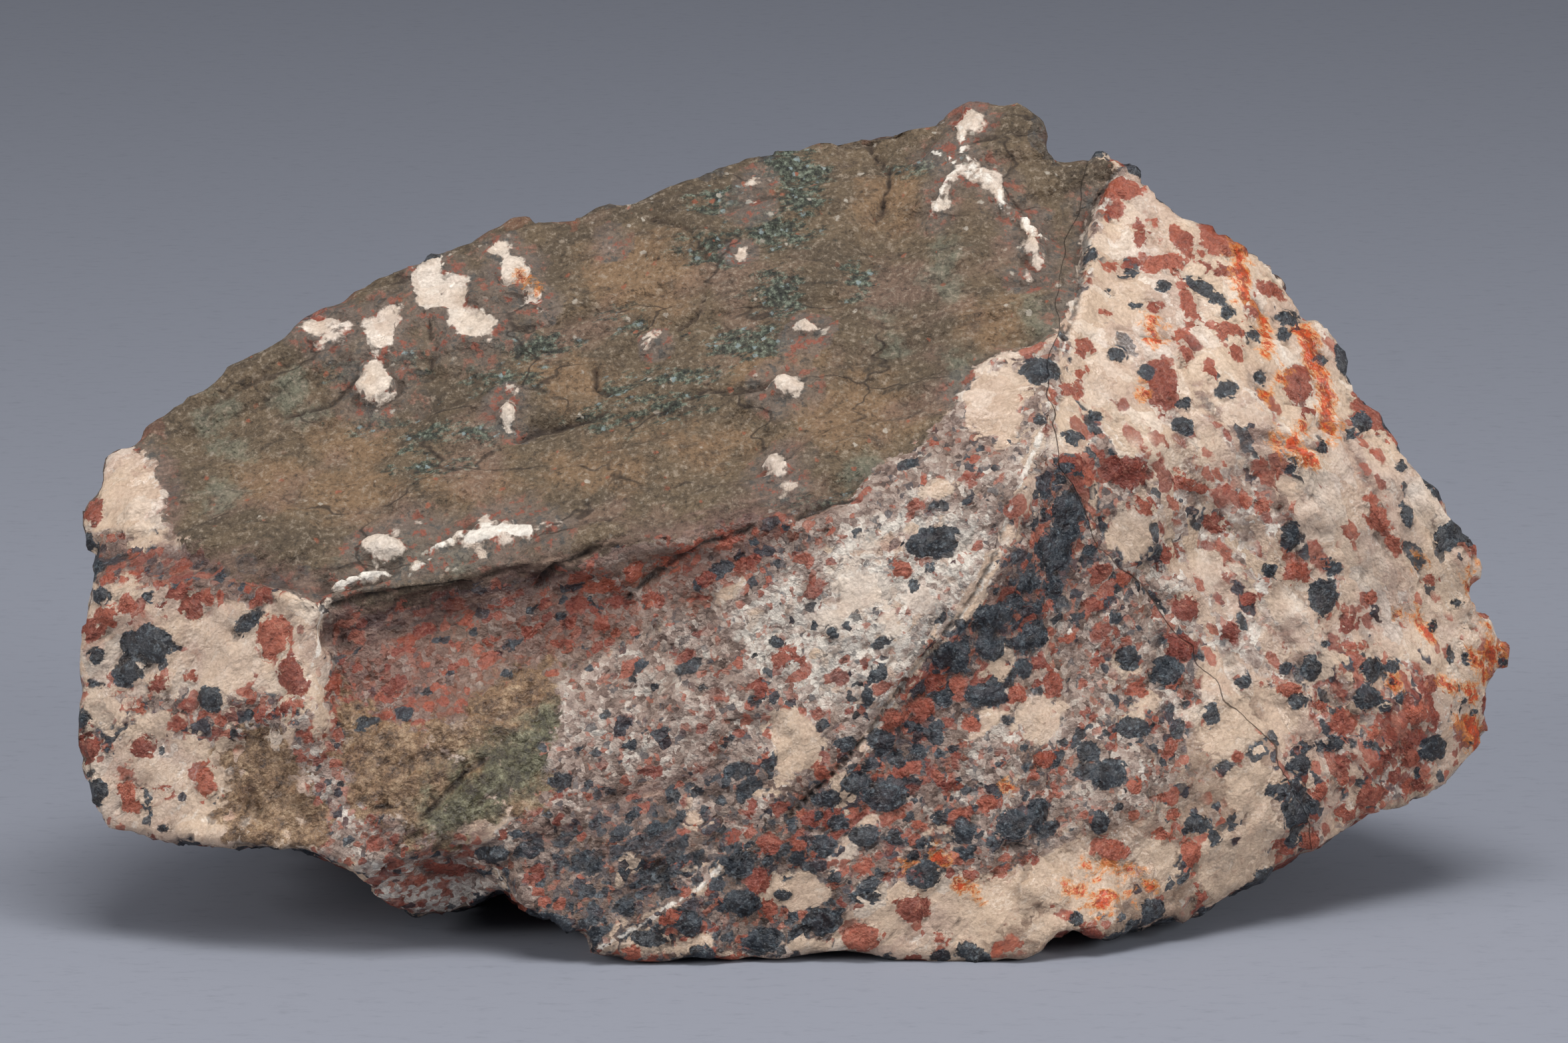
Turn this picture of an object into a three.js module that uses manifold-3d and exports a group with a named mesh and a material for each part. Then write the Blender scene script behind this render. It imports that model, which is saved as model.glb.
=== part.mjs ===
// A hand specimen of ore: one broken stone, 120 mm wide, standing on its lower edge.
//
// The stone is cut out of a rough faceted block in three steps. A relief sheet gives the front its slip
// face, its fold to the right, its ledge and its hollows. A tapering tube trims the rim to the outline that
// is seen from the front. A level cut gives the flat spot on which the stone rests.
//
// Units are millimetres. X is to the right, Y is away from the front, and Z is up. The origin is at the
// middle of the stone's box, at the height of the resting spot.

import * as THREE from 'three';
import { ImprovedNoise } from 'three/addons/math/ImprovedNoise.js';
import { mergeVertices } from 'three/addons/utils/BufferGeometryUtils.js';
import Module from 'manifold-3d';

// Driving dimensions
const STONE_WIDTH = 120;
const VIEW_DISTANCE = 650;
const VIEW_TILT = THREE.MathUtils.degToRad(12);
const PIVOT_HEIGHT = 30.4;
const FRONT_CELL = 1.9;
const BLOCK_DETAIL = 15;
const FRONT_LIMIT = -45;
const BACK_LIMIT = 45;
const BACK_SPARE = 5;
const FLOOR_WIDTH = 200;
const FLOOR_THICKNESS = 40;
const MERGE_WITHIN = 1e-4;

// The front view is measured in pixels of a picture 2358 wide and 1568 high.
const PICTURE_MIDDLE_PX = [1179, 784];
const FRONT_SHEET_CORNERS_PX = [[60, 1500], [2320, 95]];
const STONE_WIDTH_PX = 2164;
const MM_PER_PX = STONE_WIDTH / STONE_WIDTH_PX;

// The outline as seen from the front, clockwise from the upper left corner, in pixels
const UPPER_LEFT_EDGE_PX = [
  [142, 704], [150, 688], [164, 675], [196, 669], [206, 659], [213, 648], [246, 626], [262, 610],
  [282, 605], [342, 572], [347, 558], [402, 534], [425, 523], [447, 499], [451, 487], [518, 454],
  [523, 442], [554, 425], [635, 394], [697, 371], [749, 342], [771, 328], [796, 328], [804, 339],
  [834, 342], [863, 340], [866, 327], [901, 311], [950, 307], [1012, 280], [1070, 262], [1138, 233],
  [1191, 218], [1236, 200], [1300, 187], [1418, 178],
];
const TOP_KNOB_PX = [
  [1434, 163], [1463, 144], [1521, 155], [1554, 181], [1568, 201], [1577, 222], [1588, 239],
];
const UPPER_RIGHT_EDGE_PX = [
  [1608, 241], [1653, 230], [1675, 225], [1685, 236], [1717, 242], [1733, 273], [1755, 300], [1787, 331],
  [1854, 360], [1880, 366], [1916, 388], [1918, 405], [1936, 420], [1941, 440], [1962, 477], [1980, 480],
  [2008, 500], [2022, 526], [2032, 555], [2031, 573], [2055, 609], [2071, 618], [2084, 642], [2120, 694],
  [2147, 730], [2169, 750], [2196, 800],
];
const RIGHT_END_PX = [
  [2214, 811], [2230, 839], [2240, 855], [2237, 867], [2220, 885], [2219, 899], [2232, 920], [2252, 932],
  [2262, 959], [2274, 978], [2271, 991], [2267, 1004], [2248, 1001], [2250, 1020], [2239, 1037],
  [2243, 1043], [2238, 1074], [2241, 1099], [2224, 1125], [2204, 1155],
];
const LOWER_RIGHT_EDGE_PX = [
  [2175, 1187], [2135, 1204], [2099, 1217], [2079, 1214], [2050, 1222], [2022, 1246], [1985, 1273],
  [1953, 1283], [1919, 1305], [1886, 1324], [1863, 1333], [1833, 1356], [1801, 1375], [1773, 1388],
  [1758, 1386], [1715, 1401], [1700, 1396], [1662, 1411], [1625, 1400], [1606, 1396], [1578, 1411],
  [1567, 1431],
];
const FOOT_PX = [
  [1538, 1443], [1509, 1440], [1494, 1447], [1438, 1449], [1366, 1443], [1343, 1445], [1300, 1431],
  [1267, 1428], [1211, 1435], [1170, 1442], [1124, 1438], [1109, 1444], [1068, 1440], [1053, 1436],
  [997, 1446], [943, 1446], [922, 1431], [893, 1432], [884, 1404], [873, 1395], [855, 1399],
];
const LOWER_LEFT_EDGE_PX = [
  [846, 1384], [808, 1374], [772, 1353], [754, 1333], [710, 1359], [670, 1370], [630, 1377],
  [585, 1362], [556, 1334], [546, 1318], [504, 1298], [460, 1274], [422, 1278], [329, 1267],
  [218, 1258], [195, 1251], [159, 1251], [143, 1226], [131, 1190], [117, 1165], [112, 1090],
];
const LEFT_END_PX = [
  [110, 1055], [112, 1010], [114, 966], [130, 912], [138, 863], [132, 850], [137, 823], [126, 810],
  [122, 778], [135, 738],
];
const OUTLINE_PX = [
  ...UPPER_LEFT_EDGE_PX, ...TOP_KNOB_PX, ...UPPER_RIGHT_EDGE_PX, ...RIGHT_END_PX,
  ...LOWER_RIGHT_EDGE_PX, ...FOOT_PX, ...LOWER_LEFT_EDGE_PX, ...LEFT_END_PX,
];

// Lines on the front, in pixels: the ledge under the slip face, the fold where the front turns to the
// right, the edge where the slip face's plate ends, the rim of the left block, the crease above the lobe
// that is set back under the foot, and the line below which the lower right draws in.
const LEDGE_LINE_PX = [
  [60, 850], [480, 905], [640, 882], [800, 850], [1000, 815], [1130, 790], [1270, 755], [1530, 715],
  [1850, 650], [2300, 760],
];
const FOLD_LINE_PX = [
  [1745, 60], [1690, 236], [1640, 300], [1625, 420], [1590, 530], [1560, 650], [1530, 780], [1480, 900],
  [1450, 1010], [1470, 1130], [1520, 1260], [1590, 1380], [1620, 1500],
];
const PLATE_EDGE_LINE_PX = [
  [1745, 60], [1560, 650], [1530, 780], [1470, 900], [1380, 1010], [1290, 1130], [1200, 1240],
  [1130, 1330], [1030, 1500],
];
const LEFT_RIM_LINE_PX = [
  [520, 60], [500, 700], [482, 905], [478, 960], [455, 1070], [430, 1180], [400, 1500],
];
const CREASE_LINE_PX = [
  [380, 1500], [546, 1312], [600, 1290], [700, 1266], [756, 1326], [800, 1500],
];
const SKIRT_LINE_PX = [
  [1480, 1500], [1600, 1420], [1760, 1330], [1980, 1200], [2160, 1050], [2400, 800],
];

// Relief of the front
const LEDGE_DEPTH = -24;
const SLIP_FACE_SLOPE = 0.79;
const LOWER_FACE_SLOPE = 0.04;
const LEDGE_RISER = 2.2;
const LEDGE_RISER_WIDTH = 2.2;
const LEDGE_RISER_ENDS_PX = [470, 1330];
const LEDGE_RISER_END_FADES = [2, 22];
const LEDGE_RISER_FADES_BELOW = [5, 26];
const FOLD_SLOPE = 0.42;
const PLATE_EDGE_STEP = 0.8;
const PLATE_EDGE_WIDTH = 1.6;
const LEFT_BLOCK_SLOPE = 0.42;
const LEFT_RIM_WIDTH = 1;
const LOBE_SETBACK = 2.2;
const LOBE_SETBACK_WIDTH = 1.2;
const LOBE_SLOPE = 0.9;
const SKIRT_SLOPE = 0.4;

// Swellings (height above zero) and hollows (below zero) of the front: middle and reach in pixels
const FRONT_LUMPS = [
  { name: 'top knob', at: [1490, 205], reach: [95, 75], height: 1.6 },
  { name: 'saddle beside the knob', at: [1620, 300], reach: [70, 60], height: -1.4 },
  { name: 'valley under the knob', at: [1330, 430], reach: [60, 240], height: -1.1 },
  { name: 'swelling of the slip face', at: [1080, 520], reach: [260, 170], height: 1.2 },
  { name: 'hollow above the ledge', at: [620, 700], reach: [230, 90], height: -0.9 },
  { name: 'upper left ridge', at: [560, 520], reach: [260, 70], height: 1.0 },
  { name: 'white corner', at: [190, 745], reach: [80, 90], height: 0.9 },
  { name: 'hollow under the ledge', at: [760, 960], reach: [260, 110], height: -1.6 },
  { name: 'brown swelling', at: [640, 1130], reach: [180, 90], height: 1.2 },
  { name: 'hollow of the left block', at: [400, 1200], reach: [110, 70], height: -1.5 },
  { name: 'middle plate', at: [1290, 900], reach: [160, 120], height: 1.1 },
  { name: 'hollow right of the fold', at: [1760, 780], reach: [200, 150], height: -1.8 },
  { name: 'ridge of the right face', at: [1980, 900], reach: [110, 260], height: 1.4 },
  { name: 'lower right swelling', at: [1800, 1150], reach: [230, 110], height: 1.5 },
  { name: 'right shoulder', at: [2120, 1080], reach: [90, 110], height: 1.2 },
];

// Broken faces of the block: a point on each face, in millimetres, and the way it faces. Other faces
// start just outside an edge of the outline and lean in behind it, as a share of the depth.
const BLOCK_MIDDLE = new THREE.Vector3(0, 0, 28);
const BLOCK_REACH = new THREE.Vector3(60, 30, 33);
const BLOCK_FACES = [
  { name: 'front, cut away by the relief', point: [0, -48, 30], facing: [0, -1, 0] },
  { name: 'back', point: [4, 24, 30], facing: [0.06, 1, 0.1] },
  { name: 'lower back', point: [6, 23.5, 14], facing: [0.12, 0.88, -0.42] },
  { name: 'upper back', point: [12, 18, 56], facing: [0.1, 0.66, 0.74] },
  { name: 'back left', point: [-36, 17, 26], facing: [-0.42, 0.9, 0.08] },
  { name: 'far left back', point: [-53, 5, 22], facing: [-0.82, 0.56, -0.1] },
  { name: 'back right', point: [40, 18, 27], facing: [0.5, 0.86, 0.06] },
  { name: 'far right back', point: [56, 7, 26], facing: [0.86, 0.5, -0.05] },
  { name: 'under left', point: [-42, -4, 3.4], facing: [-0.22, -0.02, -0.97] },
  { name: 'under', point: [0, 0, -5], facing: [0, 0, -1] },
];
const RIM_FACES = [
  { name: 'upper left', edge: UPPER_LEFT_EDGE_PX, lean: 0.95 },
  { name: 'upper right', edge: UPPER_RIGHT_EDGE_PX, lean: 0.85 },
  { name: 'right end', edge: RIGHT_END_PX, lean: 0.6 },
  { name: 'lower right', edge: LOWER_RIGHT_EDGE_PX, lean: 0.45 },
  { name: 'left end', edge: LEFT_END_PX, lean: 0.45 },
];
const RIM_FACE_CLEARANCE = 1.8;
const BLOCK_ROUGHNESS = [
  { wave: 19, height: 2.4, creased: true },
  { wave: 8, height: 1.4, creased: false },
];
const FRONT_ROUGHNESS = [
  { wave: 11, height: 0.7, creased: false },
  { wave: 4.2, height: 0.45, creased: false },
];
const CREASE_LEVEL = 0.5;

// How the rim draws in behind the front, as a share of the depth, and how its notches fade there
const RIM_STEPS = 14;
const RIM_WALL = 1.5;
const RIM_TAPER = 0.5;
const RIM_TAPER_ENDS_BELOW = [-30, -20];
const RIM_UNEVENNESS = { share: 0.7, wave: 9, waveInDepth: 12 };
const RIM_NOTCHES_FADE_OVER = 7;
const RIM_SMOOTHING_REACH = 13;

const grain = new ImprovedNoise();

// Layers of noise at a point, in millimetres: rounded, or creased along sharp edges
function roughness(layers, x, y, z) {
  return layers.reduce((sum, { wave, height, creased }) => {
    const swell = grain.noise(x / wave, y / wave, z / wave);
    return sum + height * (creased ? CREASE_LEVEL - 2 * Math.abs(swell) : swell);
  }, 0);
}

// A pixel of the picture as millimetres across and up on the plane through the pivot
function fromPixel([column, row]) {
  const across = (column - PICTURE_MIDDLE_PX[0]) * MM_PER_PX;
  const up = (PICTURE_MIDDLE_PX[1] - row) * MM_PER_PX;
  return new THREE.Vector2(across, up);
}

// A point of the front view, at a depth behind the pivot, as a point of the stone
function place(across, up, depth) {
  const spread = (VIEW_DISTANCE + depth) / VIEW_DISTANCE;
  const sine = Math.sin(VIEW_TILT);
  const cosine = Math.cos(VIEW_TILT);
  return new THREE.Vector3(
    across * spread,
    depth * cosine + up * spread * sine,
    PIVOT_HEIGHT + up * spread * cosine - depth * sine,
  );
}

// The height of a line that runs from left to right, at a place across it
function heightOfLine(line, across) {
  const next = line.findIndex((point) => point.x > across);
  if (next < 1) {
    return (next === 0 ? line[0] : line.at(-1)).y;
  }
  const [a, b] = [line[next - 1], line[next]];
  return THREE.MathUtils.mapLinear(across, a.x, b.x, a.y, b.y);
}

// The place across of a line that runs downwards, at a height
function acrossOfLine(line, up) {
  const turned = line.map((point) => new THREE.Vector2(-point.y, point.x));
  return heightOfLine(turned, -up);
}

const ledgeLine = LEDGE_LINE_PX.map(fromPixel);
const foldLine = FOLD_LINE_PX.map(fromPixel);
const plateEdgeLine = PLATE_EDGE_LINE_PX.map(fromPixel);
const leftRimLine = LEFT_RIM_LINE_PX.map(fromPixel);
const creaseLine = CREASE_LINE_PX.map(fromPixel);
const skirtLine = SKIRT_LINE_PX.map(fromPixel);
const riserEnds = LEDGE_RISER_ENDS_PX.map((column) => fromPixel([column, 0]).x);
const frontLumps = FRONT_LUMPS.map(({ at, reach, height }) => ({
  middle: fromPixel(at),
  reach: new THREE.Vector2(...reach).multiplyScalar(MM_PER_PX),
  height,
}));

const { smoothstep } = THREE.MathUtils;

function lumpHeight(across, up) {
  return frontLumps.reduce((sum, { middle, reach, height }) => {
    const x = (across - middle.x) / reach.x;
    const y = (up - middle.y) / reach.y;
    return sum + height * Math.exp(-(x * x + y * y));
  }, 0);
}

// The depth of the front at a place of the front view: larger is further from the viewer
function frontDepth(across, up) {
  const aboveLedge = up - heightOfLine(ledgeLine, across);
  const pastFold = across - acrossOfLine(foldLine, up);
  const pastPlate = across - acrossOfLine(plateEdgeLine, up);
  const leftOfRim = acrossOfLine(leftRimLine, up) - across;
  const belowCrease = heightOfLine(creaseLine, across) - up;
  const belowSkirt = heightOfLine(skirtLine, across) - up;

  const slipFace = SLIP_FACE_SLOPE * Math.max(0, aboveLedge);
  const lowerFace = LOWER_FACE_SLOPE * Math.max(0, -aboveLedge);
  const riser = LEDGE_RISER * smoothstep(-aboveLedge, 0, LEDGE_RISER_WIDTH)
    * smoothstep(across, riserEnds[0], riserEnds[0] + LEDGE_RISER_END_FADES[0])
    * (1 - smoothstep(across, riserEnds[1] - LEDGE_RISER_END_FADES[1], riserEnds[1]))
    * (1 - smoothstep(-aboveLedge, ...LEDGE_RISER_FADES_BELOW));
  const fold = FOLD_SLOPE * Math.max(0, pastFold);
  const plateEdge = PLATE_EDGE_STEP * smoothstep(pastPlate, 0, PLATE_EDGE_WIDTH);
  const leftBlock = LEFT_BLOCK_SLOPE * Math.max(0, leftOfRim - LEFT_RIM_WIDTH);
  const lobe = LOBE_SETBACK * smoothstep(belowCrease, 0, LOBE_SETBACK_WIDTH)
    + LOBE_SLOPE * Math.max(0, belowCrease);
  const skirt = SKIRT_SLOPE * Math.max(0, belowSkirt);

  return LEDGE_DEPTH + slipFace + lowerFace + riser + fold + plateEdge + leftBlock + lobe + skirt
    - lumpHeight(across, up) - roughness(FRONT_ROUGHNESS, across, up, 0);
}

// Moves every vertex of a geometry with a function of its place
function reshape(geometry, move) {
  const position = geometry.getAttribute('position');
  const vertex = new THREE.Vector3();
  for (let i = 0; i < position.count; i += 1) {
    vertex.fromBufferAttribute(position, i);
    const moved = move(vertex);
    position.setXYZ(i, moved.x, moved.y, moved.z);
  }
  return geometry;
}

// Everything behind the relief of the front
function makeFrontSheet() {
  const corners = FRONT_SHEET_CORNERS_PX.map(fromPixel);
  const width = corners[1].x - corners[0].x;
  const height = corners[1].y - corners[0].y;
  const middle = corners[0].clone().add(corners[1]).multiplyScalar(0.5);
  const columns = Math.round(width / FRONT_CELL);
  const rows = Math.round(height / FRONT_CELL);
  const box = new THREE.BoxGeometry(width, height, 1, columns, rows, 1);
  return reshape(box, ({ x, y, z }) => {
    const across = x + middle.x;
    const up = y + middle.y;
    return place(across, up, z > 0 ? frontDepth(across, up) : BACK_LIMIT + BACK_SPARE);
  });
}

// How far a smoothed outline lies outside the outline at one of its points, along the ray from the middle
function smoothedReach(outline, x, y) {
  const here = new THREE.Vector2(x, y);
  const near = outline
    .map((point) => ({ share: Math.exp(-((point.distanceTo(here) / RIM_SMOOTHING_REACH) ** 2)), point }));
  const total = near.reduce((sum, { share }) => sum + share, 0);
  return near.reduce((sum, { share, point }) => sum + share * point.length(), 0) / total - here.length();
}

// The outline carried back from the viewer, drawn in behind the front
function makeRimTube() {
  const outline = OUTLINE_PX.map(fromPixel).reverse();
  const depth = BACK_LIMIT - FRONT_LIMIT;
  const tube = new THREE.ExtrudeGeometry(new THREE.Shape(outline), {
    depth, steps: RIM_STEPS, bevelEnabled: false,
  });
  return reshape(tube, ({ x, y, z }) => {
    const back = FRONT_LIMIT + depth - z;
    const behindFront = Math.max(0, back - frontDepth(x, y) - RIM_WALL);
    const { share, wave, waveInDepth } = RIM_UNEVENNESS;
    const unevenness = 1 + share * grain.noise(x / wave, y / wave, back / waveInDepth);
    const taper = RIM_TAPER * unevenness * smoothstep(y, ...RIM_TAPER_ENDS_BELOW);
    const filled = smoothedReach(outline, x, y) * smoothstep(behindFront, 0, RIM_NOTCHES_FADE_OVER);
    const drawnIn = Math.min(1, 1 + (filled - taper * behindFront) / Math.hypot(x, y));
    return place(x * drawnIn, y * drawnIn, back);
  });
}

// A face through the point, looking along the normal, as its distance from the middle of the block
function faceThrough(point, normal) {
  return { normal, reach: point.clone().sub(BLOCK_MIDDLE).dot(normal) };
}

// A face that leans in behind one edge of the outline, which runs clockwise
function faceBehindRim({ edge, lean }) {
  const rim = edge.map(fromPixel).map(({ x, y }) => place(x, y, frontDepth(x, y)));
  const along = rim.at(-1).clone().sub(rim[0]).normalize();
  const away = new THREE.Vector3(0, Math.cos(VIEW_TILT), -Math.sin(VIEW_TILT));
  const outward = along.clone().cross(away);
  const behind = away.addScaledVector(along, -away.dot(along));
  const normal = outward.addScaledVector(behind, lean).normalize();
  const outermost = rim.reduce((far, point) => (point.dot(normal) > far.dot(normal) ? point : far));
  return faceThrough(outermost.clone().addScaledVector(normal, RIM_FACE_CLEARANCE), normal);
}

// A rough block with broken faces, all round
function makeBlock() {
  const faces = [
    ...BLOCK_FACES.map(({ point, facing }) => (
      faceThrough(new THREE.Vector3(...point), new THREE.Vector3(...facing).normalize())
    )),
    ...RIM_FACES.map(faceBehindRim),
  ];
  const ball = new THREE.IcosahedronGeometry(1, BLOCK_DETAIL);
  return reshape(ball, (onBall) => {
    const direction = onBall.multiply(BLOCK_REACH).normalize();
    const faced = faces.filter(({ normal }) => normal.dot(direction) > 0);
    const nearest = Math.min(...faced.map(({ normal, reach }) => reach / normal.dot(direction)));
    const surface = direction.clone().multiplyScalar(nearest).add(BLOCK_MIDDLE);
    const lift = roughness(BLOCK_ROUGHNESS, surface.x, surface.y, surface.z);
    return surface.addScaledVector(direction, lift);
  });
}

// Everything below the resting level
function makeFloor() {
  const floor = new THREE.BoxGeometry(FLOOR_WIDTH, FLOOR_WIDTH, FLOOR_THICKNESS);
  floor.translate(0, 0, -FLOOR_THICKNESS / 2);
  return floor;
}

const wasm = await Module();
wasm.setup();

function solidOf(geometry) {
  const bare = geometry.clone();
  bare.deleteAttribute('normal');
  bare.deleteAttribute('uv');
  const merged = mergeVertices(bare, MERGE_WITHIN);
  return new wasm.Manifold(new wasm.Mesh({
    numProp: 3,
    vertProperties: merged.getAttribute('position').array,
    triVerts: new Uint32Array(merged.getIndex().array),
  }));
}

function geometryOf(solid) {
  const mesh = solid.getMesh();
  const geometry = new THREE.BufferGeometry();
  geometry.setAttribute('position', new THREE.BufferAttribute(new Float32Array(mesh.vertProperties), 3));
  geometry.setIndex(new THREE.BufferAttribute(mesh.triVerts, 1));
  geometry.computeVertexNormals();
  return geometry;
}

function makeStone() {
  const cut = solidOf(makeBlock())
    .intersect(solidOf(makeFrontSheet()))
    .intersect(solidOf(makeRimTube()))
    .subtract(solidOf(makeFloor()));
  const geometry = geometryOf(cut);
  geometry.computeBoundingBox();
  const middle = geometry.boundingBox.getCenter(new THREE.Vector3());
  geometry.translate(-middle.x, -middle.y, -geometry.boundingBox.min.z);
  return geometry;
}

const oreMaterial = new THREE.MeshStandardMaterial({ color: 0x8d7a68, roughness: 0.75, metalness: 0 });

const specimen = new THREE.Group();
const stone = new THREE.Mesh(makeStone(), oreMaterial);
stone.name = 'ore_stone';
specimen.add(stone);

export default specimen;
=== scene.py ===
"""Dresses a broken ore stone: its fine broken surface, its coat, its grains, and a plain studio round it.

The stone's body is the frame. The surface made here follows it closely and takes its place. Places on the
front are given in pixels of a picture 2358 wide and 1568 high, and are carried onto the stone along the
lines of sight, so that each grain sits on the rock. Lengths are millimetres until they reach a mesh.
"""

import math
from types import SimpleNamespace

import bpy
import numpy as np
from mathutils import Matrix, Vector
from mathutils.bvhtree import BVHTree
from mathutils.kdtree import KDTree


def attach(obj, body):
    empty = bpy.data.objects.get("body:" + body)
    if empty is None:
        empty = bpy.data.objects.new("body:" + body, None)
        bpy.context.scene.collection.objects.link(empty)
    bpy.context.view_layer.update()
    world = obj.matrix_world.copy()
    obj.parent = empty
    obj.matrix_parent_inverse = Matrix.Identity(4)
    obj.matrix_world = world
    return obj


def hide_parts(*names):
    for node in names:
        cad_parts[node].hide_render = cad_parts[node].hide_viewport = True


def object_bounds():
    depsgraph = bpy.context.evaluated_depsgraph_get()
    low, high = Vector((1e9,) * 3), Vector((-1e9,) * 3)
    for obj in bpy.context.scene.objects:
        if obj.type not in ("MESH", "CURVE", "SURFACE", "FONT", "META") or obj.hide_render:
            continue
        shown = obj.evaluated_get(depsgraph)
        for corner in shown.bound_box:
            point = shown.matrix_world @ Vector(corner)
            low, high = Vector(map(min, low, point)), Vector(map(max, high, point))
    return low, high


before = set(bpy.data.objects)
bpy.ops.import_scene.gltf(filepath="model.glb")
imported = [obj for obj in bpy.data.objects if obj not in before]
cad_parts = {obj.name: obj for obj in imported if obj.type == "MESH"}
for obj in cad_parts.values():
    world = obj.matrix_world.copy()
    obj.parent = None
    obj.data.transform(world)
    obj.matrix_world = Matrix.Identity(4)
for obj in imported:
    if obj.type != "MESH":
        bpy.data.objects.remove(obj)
STONE_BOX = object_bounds()

bl_info = {
    "name": "Ore Stone",
    "version": (1, 0, 0),
    "blender": (4, 5, 0),
    "location": "3D View > Sidebar > Ore Stone",
    "description": "Makes the broken surface of an ore stone and a plain studio round it",
    "category": "Object",
}

STONE = "ore_stone"
SURFACE = "ore_stone_surface"
MM = 0.001

# The picture and the view
PICTURE_PX = (2358, 1568)
STONE_WIDTH_PX = 2164
STONE_WIDTH = 120.0
PIXEL = STONE_WIDTH / STONE_WIDTH_PX
VIEW_DISTANCE = 650.0
VIEW_TILT = math.radians(12)
PIVOT = np.array([-1.414, 1.252, 30.4])
SENSOR_WIDTH = 36.0

# The studio, in metres: each softbox's place and size
FLOOR_HALF = 2.5
SOFTBOXES = {
    "overhead_softbox": ((0.05, -0.22, 0.68), (0.4, 0.3)),
    "left_softbox": ((-0.68, -0.4, 0.32), (0.3, 0.3)),
    "right_softbox": ((0.68, -0.4, 0.32), (0.3, 0.3)),
}

# The view's own directions
RIGHT = np.array([1.0, 0.0, 0.0])
UP = np.array([0.0, math.sin(VIEW_TILT), math.cos(VIEW_TILT)])
AWAY = np.array([0.0, math.cos(VIEW_TILT), -math.sin(VIEW_TILT)])
EYE = PIVOT - AWAY * VIEW_DISTANCE

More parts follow.
